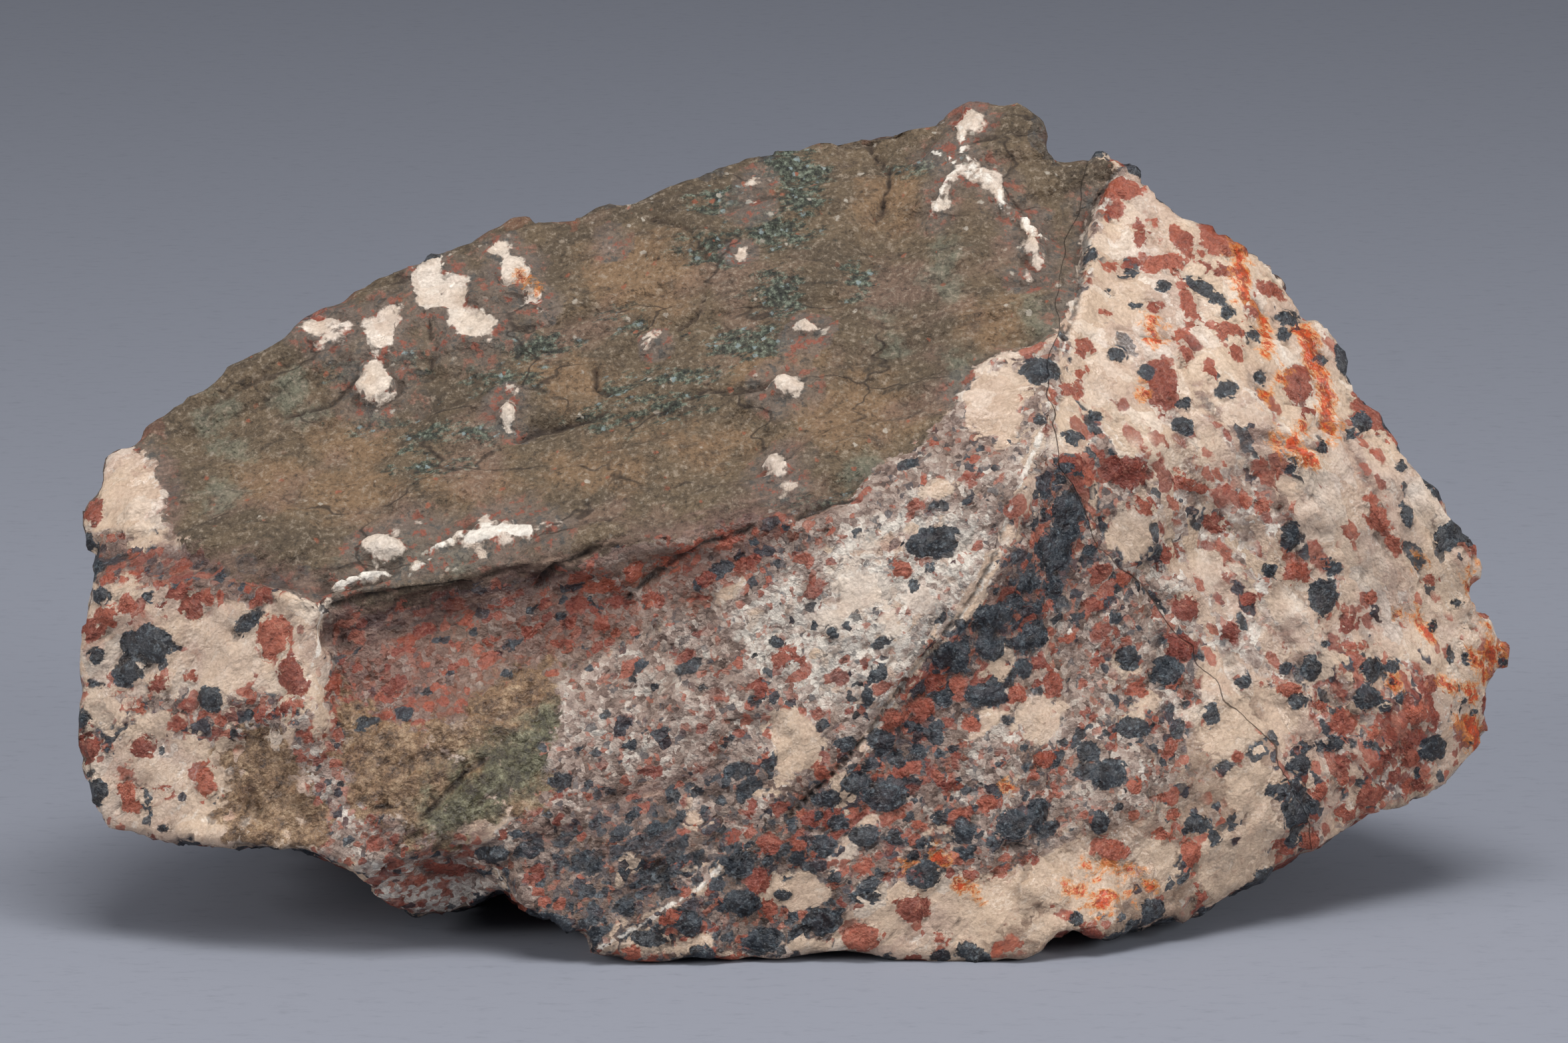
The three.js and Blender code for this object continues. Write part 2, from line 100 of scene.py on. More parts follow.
# Patches on the front: middle across, middle down, width, height, and a turn in degrees where one shows
DARK_GRAINS_PX = [
    (224, 970, 90, 58), (193, 1011, 52, 38), (146, 988, 32, 30), (155, 895, 34, 28), (224, 897, 22, 18),
    (370, 938, 58, 22, 35), (318, 1051, 45, 36), (487, 886, 22, 18), (159, 1130, 20, 18),
    (222, 1206, 14, 40, 20), (249, 1245, 20, 12), (1748, 304, 20, 13), (1641, 382, 22, 27),
    (1697, 409, 26, 13), (1749, 429, 22, 18), (1812, 434, 60, 26, -35), (1668, 436, 12, 12),
    (1715, 458, 22, 12), (1847, 473, 24, 20), (1938, 479, 42, 26, -20), (1930, 502, 22, 28),
    (1679, 534, 30, 26), (1885, 503, 28, 24), (1722, 559, 26, 24), (1896, 565, 24, 24),
    (1845, 585, 36, 26), (1987, 541, 20, 26), (2020, 542, 24, 48, 20), (2049, 636, 32, 34),
    (2033, 649, 22, 20), (1993, 669, 16, 25), (1779, 640, 34, 28), (1783, 609, 22, 18),
    (1647, 625, 22, 15), (1613, 658, 34, 24), (1607, 765, 52, 50), (1939, 707, 30, 20),
    (2109, 703, 28, 18), (2114, 773, 26, 46, 15), (2174, 809, 40, 42), (1989, 900, 48, 58),
    (1938, 806, 32, 40), (1913, 855, 26, 24), (1995, 845, 46, 18, -30), (2190, 907, 26, 18),
    (2155, 940, 14, 18), (2204, 941, 15, 9), (2209, 991, 14, 12), (2257, 995, 22, 11),
    (1997, 967, 16, 10), (1933, 1005, 20, 18), (2063, 1005, 36, 40), (2091, 1000, 28, 22),
    (2056, 1051, 38, 34), (2084, 1061, 26, 16), (2101, 1052, 13, 12), (1952, 1055, 30, 24),
    (2204, 1054, 16, 14), (2191, 1069, 16, 12), (2219, 1071, 12, 14), (2155, 1125, 46, 35),
    (2006, 1117, 32, 22), (1957, 1149, 44, 30), (1939, 1187, 60, 28), (1912, 1187, 26, 20),
    (1948, 1227, 46, 44), (1974, 1212, 26, 22), (1944, 1262, 26, 26), (2058, 1121, 15, 11),
    (2132, 1163, 11, 10), (2209, 1116, 10, 15), (1968, 1122, 40, 13), (1602, 800, 44, 40),
    (1584, 829, 58, 60), (1401, 815, 82, 46, 8), (1454, 753, 22, 18), (1399, 853, 13, 13),
    (1374, 880, 14, 20), (1493, 927, 54, 46), (1488, 971, 42, 46), (1430, 985, 60, 40, 30),
    (1555, 954, 42, 38), (1484, 1045, 66, 38), (1540, 1007, 26, 30), (1323, 1012, 28, 26),
    (1305, 1045, 22, 36), (1250, 949, 22, 20), (1223, 942, 15, 13), (1328, 965, 40, 15, 15),
    (1169, 963, 22, 20), (1698, 988, 34, 32), (1676, 927, 18, 18), (1754, 1009, 50, 46),
    (1675, 1051, 20, 18), (1705, 1096, 56, 32, 10), (1819, 1077, 27, 36), (1868, 1026, 26, 22),
    (1971, 1004, 30, 36), (1636, 1128, 36, 32), (1667, 1164, 60, 44), (1328, 1114, 42, 32),
    (1406, 1101, 24, 38), (1274, 1121, 32, 20), (1368, 1092, 26, 16), (1288, 1177, 38, 32),
    (1243, 1201, 46, 26), (1332, 1199, 70, 42), (1504, 1149, 32, 15, -15), (1562, 1217, 28, 34),
    (1524, 1239, 48, 52), (1560, 1241, 26, 24), (1654, 1236, 26, 32), (1798, 1240, 46, 32),
    (1825, 1257, 28, 24), (1299, 1258, 42, 32), (1237, 1270, 44, 34), (1450, 1244, 32, 28),
    (1493, 1264, 32, 22), (1453, 1284, 28, 26), (1390, 1317, 50, 44), (1305, 1346, 42, 17),
    (1733, 1372, 46, 36), (1708, 1388, 26, 16), (1616, 1381, 20, 15), (1452, 1428, 28, 28),
    (1414, 1436, 30, 20), (1113, 1300, 44, 40), (1114, 1357, 58, 40), (1154, 1297, 22, 20),
    (1040, 1390, 38, 36), (976, 1413, 48, 24, -10), (1239, 1385, 60, 42), (1147, 1414, 66, 36),
    (951, 1226, 26, 18), (1012, 1196, 22, 26), (984, 1247, 36, 15, 20), (989, 1316, 66, 28, 15),
    (941, 1362, 26, 30), (1189, 1239, 22, 18), (742, 1287, 50, 26), (776, 1252, 22, 16),
    (723, 1311, 30, 16), (1563, 559, 58, 40, -8), (1412, 1230, 24, 18), (1550, 875, 30, 24),
    (1526, 905, 26, 24), (1440, 1000, 30, 26), (1348, 1140, 30, 24), (1176, 1345, 24, 20),
    (1080, 1330, 34, 20), (1196, 1290, 30, 20), (1258, 1318, 30, 22), (1345, 1260, 26, 24),
    (896, 1300, 34, 16, 20), (1034, 1290, 40, 16, 15), (552, 1086, 40, 20, 25), (607, 1072, 28, 22),
    (948, 1120, 18, 14), (760, 1012, 16, 14), (843, 925, 14, 12), (960, 956, 16, 13),
    (372, 848, 32, 26), (330, 860, 26, 18), (405, 868, 28, 24), (452, 850, 20, 18),
    (2092, 1025, 16, 14), (1905, 1112, 14, 12), (1600, 705, 26, 18), (1588, 885, 30, 26),
    (1560, 910, 24, 20), (1532, 965, 24, 22), (1416, 1050, 26, 24), (1380, 1130, 24, 22),
    (1310, 1150, 26, 22), (1260, 1235, 26, 22),
]
RED_GRAINS_PX = [
    (139, 770, 32, 40), (164, 926, 36, 34), (137, 948, 38, 30), (193, 908, 30, 18), (246, 908, 20, 18),
    (291, 912, 38, 40), (320, 899, 36, 26), (411, 953, 46, 60, 20), (402, 979, 28, 24),
    (438, 1015, 42, 62, 20), (286, 1015, 22, 20), (237, 1029, 32, 28), (501, 1033, 22, 30),
    (131, 1124, 36, 34), (211, 1121, 32, 30), (195, 1197, 36, 52, 15), (310, 1178, 28, 46),
    (160, 870, 26, 24), (268, 893, 26, 20), (430, 1062, 26, 34), (396, 1075, 28, 24),
    (127, 905, 22, 26), (208, 1065, 24, 20), (246, 1190, 24, 16), (1688, 284, 58, 38),
    (1675, 317, 22, 30), (1717, 355, 22, 42), (1782, 364, 24, 26), (1800, 382, 30, 24),
    (1751, 398, 56, 28), (1702, 393, 32, 16), (1829, 407, 36, 18, -10), (1673, 398, 26, 13),
    (1791, 460, 24, 78, 15), (1733, 458, 32, 16), (1778, 507, 20, 26), (1912, 434, 48, 20, -20),
    (1630, 523, 32, 26), (1849, 496, 46, 30), (1746, 580, 46, 88, 10), (1885, 465, 22, 42, 20),
    (1782, 532, 22, 36), (1953, 575, 52, 52), (1604, 590, 46, 20), (1696, 712, 66, 44, -15),
    (1789, 726, 64, 26, -35), (1611, 699, 40, 30), (2070, 775, 30, 70, 30), (2095, 815, 26, 40, 20),
    (1946, 862, 52, 30), (2030, 936, 28, 30), (2038, 974, 36, 16), (2216, 883, 16, 26),
    (2262, 974, 22, 28), (2244, 934, 15, 15), (2237, 1010, 15, 20), (2236, 1045, 18, 13),
    (1938, 1036, 40, 22), (1897, 1030, 26, 13), (2150, 1031, 26, 28), (2132, 1074, 40, 34),
    (2154, 1077, 16, 26), (2022, 1084, 46, 40), (2121, 1110, 28, 28), (2118, 1142, 24, 24),
    (2084, 1138, 18, 22), (2098, 1128, 13, 18), (2076, 1156, 12, 20), (2100, 1167, 16, 18),
    (2117, 1182, 18, 18), (2137, 1180, 20, 20), (2020, 1148, 26, 22), (2017, 1176, 26, 16),
    (1984, 1190, 28, 28), (2058, 1194, 46, 36), (2028, 1224, 40, 22), (1930, 1271, 32, 26),
    (1970, 1267, 32, 26), (1861, 1140, 16, 15), (1767, 1222, 26, 20), (1355, 855, 32, 28),
    (1183, 989, 46, 28), (1142, 1034, 30, 20), (1408, 1029, 30, 26), (1390, 1065, 42, 30),
    (1530, 1043, 38, 28), (1580, 1025, 32, 36), (1646, 909, 32, 28), (1785, 913, 46, 36),
    (1774, 971, 52, 40), (1707, 1036, 28, 30), (1573, 1141, 27, 27), (1488, 1208, 32, 26),
    (1363, 1154, 42, 30), (1319, 1152, 26, 22), (1158, 1268, 40, 30), (1252, 1227, 32, 26),
    (1217, 1229, 28, 26), (1140, 1323, 40, 44), (1160, 1369, 34, 30), (1010, 1382, 30, 20),
    (948, 1433, 36, 24), (1076, 1433, 30, 16), (1068, 1394, 15, 15), (1294, 1408, 56, 46),
    (1373, 1366, 46, 42), (1414, 1408, 26, 20), (1667, 1280, 50, 44), (1787, 1285, 28, 46),
    (1752, 1254, 36, 16), (1801, 1352, 18, 42), (1549, 1292, 16, 16), (1292, 1302, 36, 20),
    (1457, 1315, 32, 20), (667, 1303, 60, 20), (1130, 1216, 20, 20), (1638, 720, 24, 30),
    (1720, 760, 30, 24, -30), (1830, 790, 30, 22, -35), (1760, 830, 24, 30), (1690, 870, 26, 22),
    (1610, 960, 30, 24), (1650, 990, 24, 24), (1560, 1000, 22, 24), (1460, 1090, 26, 22),
    (1340, 1080, 24, 18), (1235, 1160, 22, 20), (1420, 1180, 26, 20), (1380, 1240, 24, 20),
    (1200, 1270, 22, 18), (1100, 1260, 24, 18), (1026, 1340, 24, 18), (2000, 640, 26, 22),
    (1960, 620, 22, 18), (2150, 870, 20, 24), (2060, 900, 24, 20), (1880, 900, 24, 20),
    (1850, 950, 26, 20), (2070, 1100, 18, 16), (1990, 1060, 24, 18), (1738, 330, 20, 14),
    (1765, 350, 18, 26), (1860, 530, 22, 30), (1820, 560, 20, 26), (1665, 470, 16, 14),
    (1625, 560, 20, 16), (1900, 760, 22, 18), (1700, 1180, 20, 18), (900, 880, 46, 22, 20),
    (948, 862, 44, 24, 20), (1040, 826, 40, 20, 20), (870, 912, 36, 24), (820, 905, 30, 22),
    (930, 905, 30, 20), (1000, 850, 30, 18), (1100, 810, 30, 18), (760, 905, 34, 20),
    (700, 935, 30, 20), (985, 900, 22, 18), (640, 945, 26, 18), (796, 950, 30, 20), (850, 968, 24, 16),
    (740, 960, 22, 18), (905, 940, 24, 18), (1060, 868, 22, 16), (1128, 843, 20, 14),
]
CREAM_PATCHES_PX = [
    (195, 745, 84, 132), (205, 800, 50, 50), (490, 488, 62, 56), (581, 503, 44, 76), (570, 572, 62, 70),
    (650, 434, 46, 76), (713, 492, 74, 48), (684, 440, 22, 50), (770, 415, 48, 46),
    (800, 455, 34, 24, -40), (752, 377, 22, 18), (766, 617, 22, 34), (752, 796, 92, 40, 8),
    (690, 797, 76, 18, -5), (572, 819, 40, 18), (1137, 269, 18, 14), (1126, 312, 28, 22),
    (1114, 384, 14, 14), (919, 372, 16, 24), (1218, 490, 22, 16), (1202, 506, 20, 14),
    (1178, 579, 42, 28), (986, 512, 12, 12), (1175, 705, 44, 34), (1454, 170, 40, 42),
    (1557, 365, 28, 64), (1543, 405, 26, 20), (1497, 613, 92, 106, 10), (1515, 570, 50, 40),
    (1194, 1119, 98, 103), (1048, 1191, 70, 44), (1175, 1193, 52, 26), (1053, 1300, 46, 42),
    (1206, 1341, 98, 50), (1050, 1234, 30, 18), (931, 1326, 18, 40), (948, 1300, 30, 18),
    (1404, 1253, 40, 24), (1270, 1186, 18, 40), (1502, 1005, 40, 40), (1564, 1083, 58, 78),
    (1300, 891, 92, 68), (1307, 820, 54, 32), (1414, 733, 58, 27), (1803, 692, 82, 28),
    (1984, 770, 70, 132), (2136, 743, 55, 90), (1704, 797, 88, 92), (1825, 860, 60, 46),
    (1938, 911, 42, 52), (2142, 969, 34, 34), (1705, 1071, 32, 20), (1650, 560, 96, 110),
    (1640, 470, 60, 90), (1745, 300, 60, 70), (1880, 620, 60, 40), (1850, 1100, 130, 90),
    (1930, 1070, 70, 70), (1880, 1180, 70, 70), (1850, 1310, 120, 90), (1900, 1250, 60, 70),
    (1600, 1330, 190, 90), (1750, 1310, 60, 80), (1500, 1370, 120, 70), (1590, 1390, 100, 40),
    (1340, 1400, 60, 40), (1210, 1425, 80, 24), (1010, 1430, 110, 22), (1250, 930, 60, 40),
    (1340, 935, 50, 40), (1390, 900, 70, 50), (350, 1000, 120, 90), (330, 960, 90, 70),
    (160, 1060, 80, 60), (250, 1080, 60, 30), (160, 1180, 70, 60), (240, 1160, 60, 50),
    (430, 910, 60, 40), (200, 880, 60, 36), (480, 1090, 50, 60, 20), (2060, 860, 50, 60),
    (1660, 360, 40, 60), (1700, 450, 60, 60), (1760, 260, 40, 40), (1960, 740, 50, 80),
    (1520, 1177, 34, 30), (1680, 1010, 30, 30), (1850, 420, 40, 40), (1990, 1000, 30, 24),
    (2200, 960, 40, 50),
]
TAN_PATCHES_PX = [
    (536, 658, 130, 80), (514, 734, 150, 80), (960, 420, 190, 110), (1280, 620, 170, 110),
    (700, 730, 150, 60), (1160, 540, 120, 70), (1500, 480, 110, 80), (400, 720, 120, 70),
    (860, 560, 110, 70), (1060, 660, 170, 50), (1340, 300, 110, 90), (900, 700, 120, 50),
]
GREEN_PATCHES_PX = [
    (442, 588, 64, 80), (325, 619, 68, 62), (349, 680, 40, 20), (460, 609, 30, 20), (330, 740, 60, 60),
    (600, 830, 120, 50), (690, 830, 90, 40), (1338, 486, 45, 58), (1405, 686, 54, 45),
    (1300, 700, 60, 30), (1450, 560, 60, 90), (1560, 480, 60, 80), (1420, 400, 60, 80),
]
SOOTY_PATCHES_PX = [
    (1182, 246, 60, 60), (1204, 303, 56, 46), (1164, 347, 90, 40), (1169, 441, 60, 50),
    (1120, 512, 90, 40), (1079, 379, 80, 40), (1215, 260, 50, 60), (1290, 420, 40, 40),
    (1080, 300, 50, 30), (523, 557, 30, 24), (617, 539, 26, 20), (563, 628, 40, 20), (932, 479, 26, 12),
    (925, 579, 26, 20), (612, 671, 16, 16), (813, 515, 66, 20), (1320, 740, 60, 30),
    (1245, 757, 90, 22), (1030, 560, 80, 14), (900, 620, 60, 14), (1391, 239, 50, 14, 20),
    (640, 700, 60, 16), (1000, 600, 60, 20), (760, 560, 60, 16), (700, 640, 70, 12),
]

# Lines on the front: their width in pixels, then the places they pass
WHITE_VEINS_PX = [
    (8, (1447, 190), (1447, 233), (1479, 259), (1501, 277), (1505, 300), (1541, 322), (1563, 353)),
    (5, (1434, 259), (1416, 286), (1405, 317)), (7, (1400, 225), (1430, 240), (1460, 262)),
    (12, (508, 876), (545, 862), (578, 858)), (4, (570, 806), (603, 788)), (4, (618, 852), (650, 838)),
    (22, (706, 806), (750, 796), (790, 794)), (7, (650, 822), (690, 802), (740, 786)),
    (9, (1566, 650), (1557, 677), (1530, 739), (1517, 784)),
    (5, (1517, 784), (1490, 855), (1468, 900), (1430, 949), (1386, 994), (1350, 1047), (1314, 1101)),
    (7, (1084, 1303), (1053, 1334), (1002, 1364), (969, 1390), (900, 1425)),
    (6, (492, 908), (478, 975), (460, 1024), (429, 1064)),
    (6, (681, 1283), (709, 1289), (728, 1303), (745, 1308), (754, 1331)),
    (5, (1600, 520), (1590, 560), (1577, 600), (1566, 650)), (5, (1640, 300), (1632, 380), (1622, 450)),
]
# Dusky bands: a dark purple-brown layer of the rock; along the ledge's underside they also paint its shade
DUSKY_AND_SHADED_BANDS_PX = [
    (44, (153, 836), (250, 842), (380, 850), (480, 872)),
    # The next two follow the ledge's underside: a dark band of the rock together with the ledge's painted
    # shade
    (62, (500, 948), (560, 938), (640, 918), (740, 892), (839, 852)),
    (30, (839, 852), (946, 814), (1049, 786), (1130, 768), (1230, 757)),
    (16, (250, 700), (262, 760), (256, 810)), (10, (1800, 590), (1850, 640), (1885, 700)),
    (12, (1880, 655), (1940, 668), (1985, 672)), (9, (1760, 600), (1790, 690), (1800, 760)),
    (9, (1900, 700), (1930, 780), (1960, 850)), (8, (2020, 640), (2060, 720), (2080, 800)),
    (8, (1930, 950), (1990, 1040), (2060, 1090)), (18, (900, 1285), (960, 1268), (1010, 1260)),
    (14, (880, 1210), (1000, 1180), (1080, 1150)), (14, (800, 1260), (900, 1240), (960, 1200)),
    (14, (560, 1240), (640, 1262), (720, 1250)),
]
CRACKS_PX = [
    (5, (776, 655), (807, 640), (887, 624), (910, 611)), (4, (892, 548), (892, 570), (910, 584)),
    (4, (1035, 593), (1057, 579), (1102, 584), (1151, 575)), (4, (1057, 414), (1057, 463), (1021, 486)),
    (6, (731, 1140), (703, 1159), (683, 1182), (661, 1204), (639, 1224)), (4, (560, 1213), (622, 1210)),
    (7, (808, 887), (839, 852), (893, 825)),
    (5, (942, 901), (969, 874), (1004, 852), (1054, 821), (1134, 794)),
    (7, (1200, 772), (1240, 757), (1289, 748)), (6, (500, 915), (560, 900), (640, 888), (700, 880)),
    (7, (1690, 236), (1657, 286), (1639, 309), (1635, 340), (1628, 416), (1618, 469), (1600, 510)),
    (4, (1510, 800), (1484, 862), (1460, 905), (1424, 953), (1380, 998), (1345, 1050), (1308, 1104)),
    (4, (1308, 1104), (1272, 1144), (1220, 1193), (1185, 1229)),
    (5, (1300, 200), (1340, 260), (1320, 330)), (4, (640, 470), (655, 520), (640, 560)),
    (4, (980, 330), (1040, 350), (1060, 390)), (4, (430, 620), (500, 600), (540, 560)),
]
RUST_STAINS_PX = [
    (22, (1858, 372), (1862, 400), (1868, 446)), (20, (1733, 480), (1738, 512)),
    (13, (1905, 480), (1906, 530)),
    (26, (1950, 495), (1962, 502), (1975, 537), (1990, 570), (1997, 600), (1997, 640)),
    (20, (1921, 658), (1945, 676), (1970, 689)), (8, (1716, 575), (1720, 592)),
    (12, (2112, 916), (2130, 930), (2152, 956)), (8, (2131, 843), (2135, 849)),
    (8, (2221, 842), (2226, 846)), (12, (2214, 890), (2220, 906)), (10, (2240, 972), (2250, 980)),
    (16, (2092, 1020), (2096, 1028)), (12, (2163, 1023), (2190, 1036), (2214, 1046)),
    (34, (2212, 1090), (2222, 1120)), (20, (2236, 980), (2256, 1000)),
    (9, (2205, 860), (2222, 900), (2240, 960)), (8, (1600, 1330), (1640, 1345), (1700, 1350)),
    (12, (1440, 1330), (1470, 1345)), (7, (1660, 1300), (1700, 1310), (1740, 1340)),
    (14, (2190, 1084), (2196, 1094)), (12, (2204, 1140), (2208, 1150)),
    (10, (1414, 1286), (1420, 1290)), (5, (1630, 1300), (1646, 1320)), (5, (1650, 1358), (1672, 1370)),
    (5, (1618, 1366), (1640, 1374)), (12, (1364, 1306), (1378, 1314)), (6, (1514, 1181), (1519, 1183)),
    (8, (1930, 560), (1900, 600)), (9, (1960, 640), (1940, 670)), (7, (2230, 1060), (2236, 1090)),
    (7, (780, 420), (800, 440)), (6, (2215, 980), (2235, 1040)),
    (7, (1990, 600), (2010, 640), (2000, 660)),
]

# Areas of the front, as corners in pixels
COAT_PX = [
    (60, 560), (175, 655), (236, 707), (258, 815), (380, 868), (495, 925), (660, 908), (825, 864),
    (1014, 802), (1132, 778), (1270, 762), (1300, 712), (1391, 668), (1440, 600), (1486, 540),
    (1560, 520), (1604, 500), (1621, 469), (1628, 416), (1635, 340), (1660, 280), (1700, 224),
    (1720, 100), (1300, 60), (900, 160), (400, 380), (60, 520),
]
STEEP_FABRIC_PX = [
    (1575, 480), (1640, 200), (1800, 200), (2300, 700), (2330, 1060), (2150, 1250), (1980, 1290),
    (1900, 1120), (1800, 980), (1720, 900), (1640, 800), (1600, 700),
]
EARTH_PX = [
    (507, 1040), (600, 1090), (680, 1075), (760, 1010), (820, 975), (850, 1030), (835, 1110),
    (820, 1190), (760, 1240), (680, 1262), (600, 1250), (545, 1215), (500, 1140),
]
LEFT_EARTH_PX = [
    (336, 1112), (400, 1100), (452, 1150), (484, 1230), (450, 1290), (375, 1290), (326, 1220),
]
MOSS_PX = [
    (640, 1200), (690, 1130), (760, 1070), (830, 1050), (870, 1080), (850, 1160), (800, 1230),
    (700, 1270), (600, 1255),
]

# Fine mixtures on the front: the corners of each area in pixels, then the shares of sugary matrix, small
# red grains, small dark grains and brown dirt, and how white the matrix is. On the lower right the dirt
# share also paints shade, and on the set-back lobe the whiteness also paints light. A later area lies over
# an earlier one.
MIXTURES_PX = [
    (((1620, 560), (1740, 640), (1860, 680), (1960, 640), (2040, 620), (2120, 700), (2196, 800),
      (2262, 960), (2241, 1100), (2150, 1190), (2020, 1246), (1900, 1100), (1800, 960), (1740, 840),
      (1660, 760)),
     0.24, 0.20, 0.06, 0.14, 0.70),
    (((780, 1100), (860, 1010), (967, 950), (1120, 880), (1150, 740), (1285, 700), (1391, 640),
      (1450, 600), (1540, 660), (1520, 754), (1470, 872), (1391, 990), (1320, 1100), (1226, 1215),
      (1130, 1330), (1000, 1440), (820, 1400), (740, 1310), (720, 1265), (800, 1200)),
     1.00, 0.13, 0.09, 0.36, 0.43),
    (((1090, 930), (1150, 880), (1200, 840), (1285, 800), (1391, 760), (1440, 720), (1500, 770),
      (1450, 900), (1380, 1000), (1310, 1090), (1230, 1060), (1130, 990)),
     0.72, 0.07, 0.05, 0.10, 1.00),
    (((1000, 1160), (1130, 1150), (1250, 1180), (1180, 1260), (1060, 1300), (930, 1290), (870, 1250),
      (900, 1180)),
     1.00, 0.10, 0.30, 0.45, 0.35),
    (((500, 860), (660, 860), (825, 830), (1014, 780), (1190, 740), (1190, 813), (1120, 872),
      (1002, 945), (896, 1000), (760, 1075), (620, 1110), (500, 1065), (500, 960)),
     1.00, 0.30, 0.09, 0.85, 0.42),
    (((1290, 760), (1300, 712), (1391, 668), (1440, 600), (1486, 540), (1560, 520), (1604, 500),
      (1620, 400), (1650, 280), (1700, 230), (1665, 320), (1640, 420), (1612, 530), (1570, 650),
      (1530, 780), (1450, 780), (1380, 745)),
     0.95, 0.08, 0.10, 0.35, 0.42),
    # The lower right: more dirt and a less white matrix, partly real dirt and partly painted shade where
    # the rock turns down
    (((1480, 1300), (1600, 1240), (1750, 1180), (1800, 1080), (1900, 1040), (2040, 1100), (2120, 1160),
      (2200, 1150), (2000, 1280), (1760, 1400), (1480, 1460)),
     0.32, 0.14, 0.08, 0.72, 0.36),
    (((1900, 1000), (2000, 980), (2120, 1000), (2170, 1080), (2150, 1180), (2060, 1240), (1960, 1290),
      (1920, 1230), (1900, 1120)),
     0.45, 0.45, 0.14, 0.34, 0.50),
    (((1640, 640), (1700, 700), (1760, 800), (1800, 960), (1800, 1060), (1740, 1200), (1640, 1270),
      (1440, 1310), (1330, 1330), (1200, 1400), (1290, 1260), (1480, 1090), (1560, 1000), (1640, 800)),
     0.80, 0.19, 0.18, 0.42, 0.48),
    (((1575, 690), (1640, 700), (1640, 800), (1600, 900), (1560, 1000), (1480, 1090), (1380, 1180),
      (1290, 1260), (1200, 1330), (1100, 1400), (1020, 1440), (1130, 1330), (1225, 1200), (1350, 1050),
      (1470, 905), (1530, 790)),
     0.90, 0.30, 0.38, 0.48, 0.30),
    (((1820, 600), (1910, 600), (1960, 670), (1960, 800), (1930, 960), (1870, 1000), (1800, 960),
      (1750, 860), (1700, 760), (1760, 700), (1840, 700)),
     0.50, 0.20, 0.08, 0.26, 0.66),
    (((780, 1240), (900, 1230), (1060, 1260), (1200, 1290), (1280, 1330), (1240, 1450), (900, 1450),
      (800, 1390), (740, 1320)),
     0.95, 0.15, 0.40, 0.50, 0.26),
    # The set-back lobe: its whiteness is raised partly to paint in the light that reaches it from below the
    # front
    (((540, 1300), (600, 1283), (700, 1262), (760, 1330), (720, 1400), (540, 1400)),
     1.00, 0.26, 0.04, 0.25, 1.15),
    (((440, 1050), (505, 1050), (530, 1120), (600, 1240), (700, 1270), (770, 1290), (740, 1340),
      (600, 1300), (470, 1300), (480, 1220), (440, 1120)),
     0.90, 0.30, 0.10, 0.50, 0.50),
    (((100, 1010), (200, 1040), (300, 1040), (420, 1030), (450, 1100), (330, 1125), (200, 1110),
      (100, 1140)),
     0.70, 0.26, 0.24, 0.25, 0.40),
    (((100, 790), (260, 812), (480, 850), (500, 900), (380, 905), (250, 885), (100, 890)),
     0.90, 0.28, 0.24, 0.70, 0.25),
]
PLAIN_CALCITE_SHARES = (0.10, 0.05, 0.03, 0.05, 0.50)
HIDDEN_SHARES = (1.0, 0.34, 0.30, 0.5, 0.8)

# Finding places on the surface: depths and reaches in mm, some as shares of a patch's own size
FAR = 5.0
PATCH_REACH = 2.2
PATCH_DEPTH_SHARE = 0.9
PATCH_DEPTH_MARGIN = 0.6
LINE_STEP_PX = 18
LINE_REACH = 3.0
FRONT_FACING = 0.12
FRONT_FALL = 12.0

# Strewn grains: their half width in mm and its spread, the share of dark ones, and how they crowd together
STREWN_HALF_WIDTH = 0.95
STREWN_SPREAD = 0.38
STREWN_DARK_SHARE = 0.42
STREWN_CROWDING = 0.35
STREWN_CROWD_WAVE = 16

# Broken rock: the sizes in mm of its facets and how strongly each size shows, then the same for its waves
FACET_SIZES = ((6.5, 31, 1.0), (2.8, 32, 0.6), (1.5, 35, 0.4))
ROCK_WAVES = ((1.9, 33, 0.12), (0.95, 34, 0.08))

# The worn coat: the height of its treads in mm, the part of it that rises, how far its patterns are drawn
# out, and the depth and wave length of its pits; then the relief of dusky bands, earth and grain rims
TREAD_HEIGHT = 0.5
TREAD_RISE = 0.2
COAT_STRETCH = 0.42
PIT_DEPTH = 0.3
PIT_WAVE = 3.4
DUSK_DEPTH = 0.3
EARTH_HEIGHT = 0.25
GRAIN_RIM_DEPTH = 0.12
GRAIN_RIM_WIDTH = 0.28

# The numbers that scramble a grid cell into a random value
HASH_STEPS = np.array([73856093, 19349663, 83492791])
HASH_SEED_STEP = 2654435761
HASH_FACTOR = 1274126177
HASH_BITS = 0xFFFFFFFF
VALUE_BITS = 0xFFFF

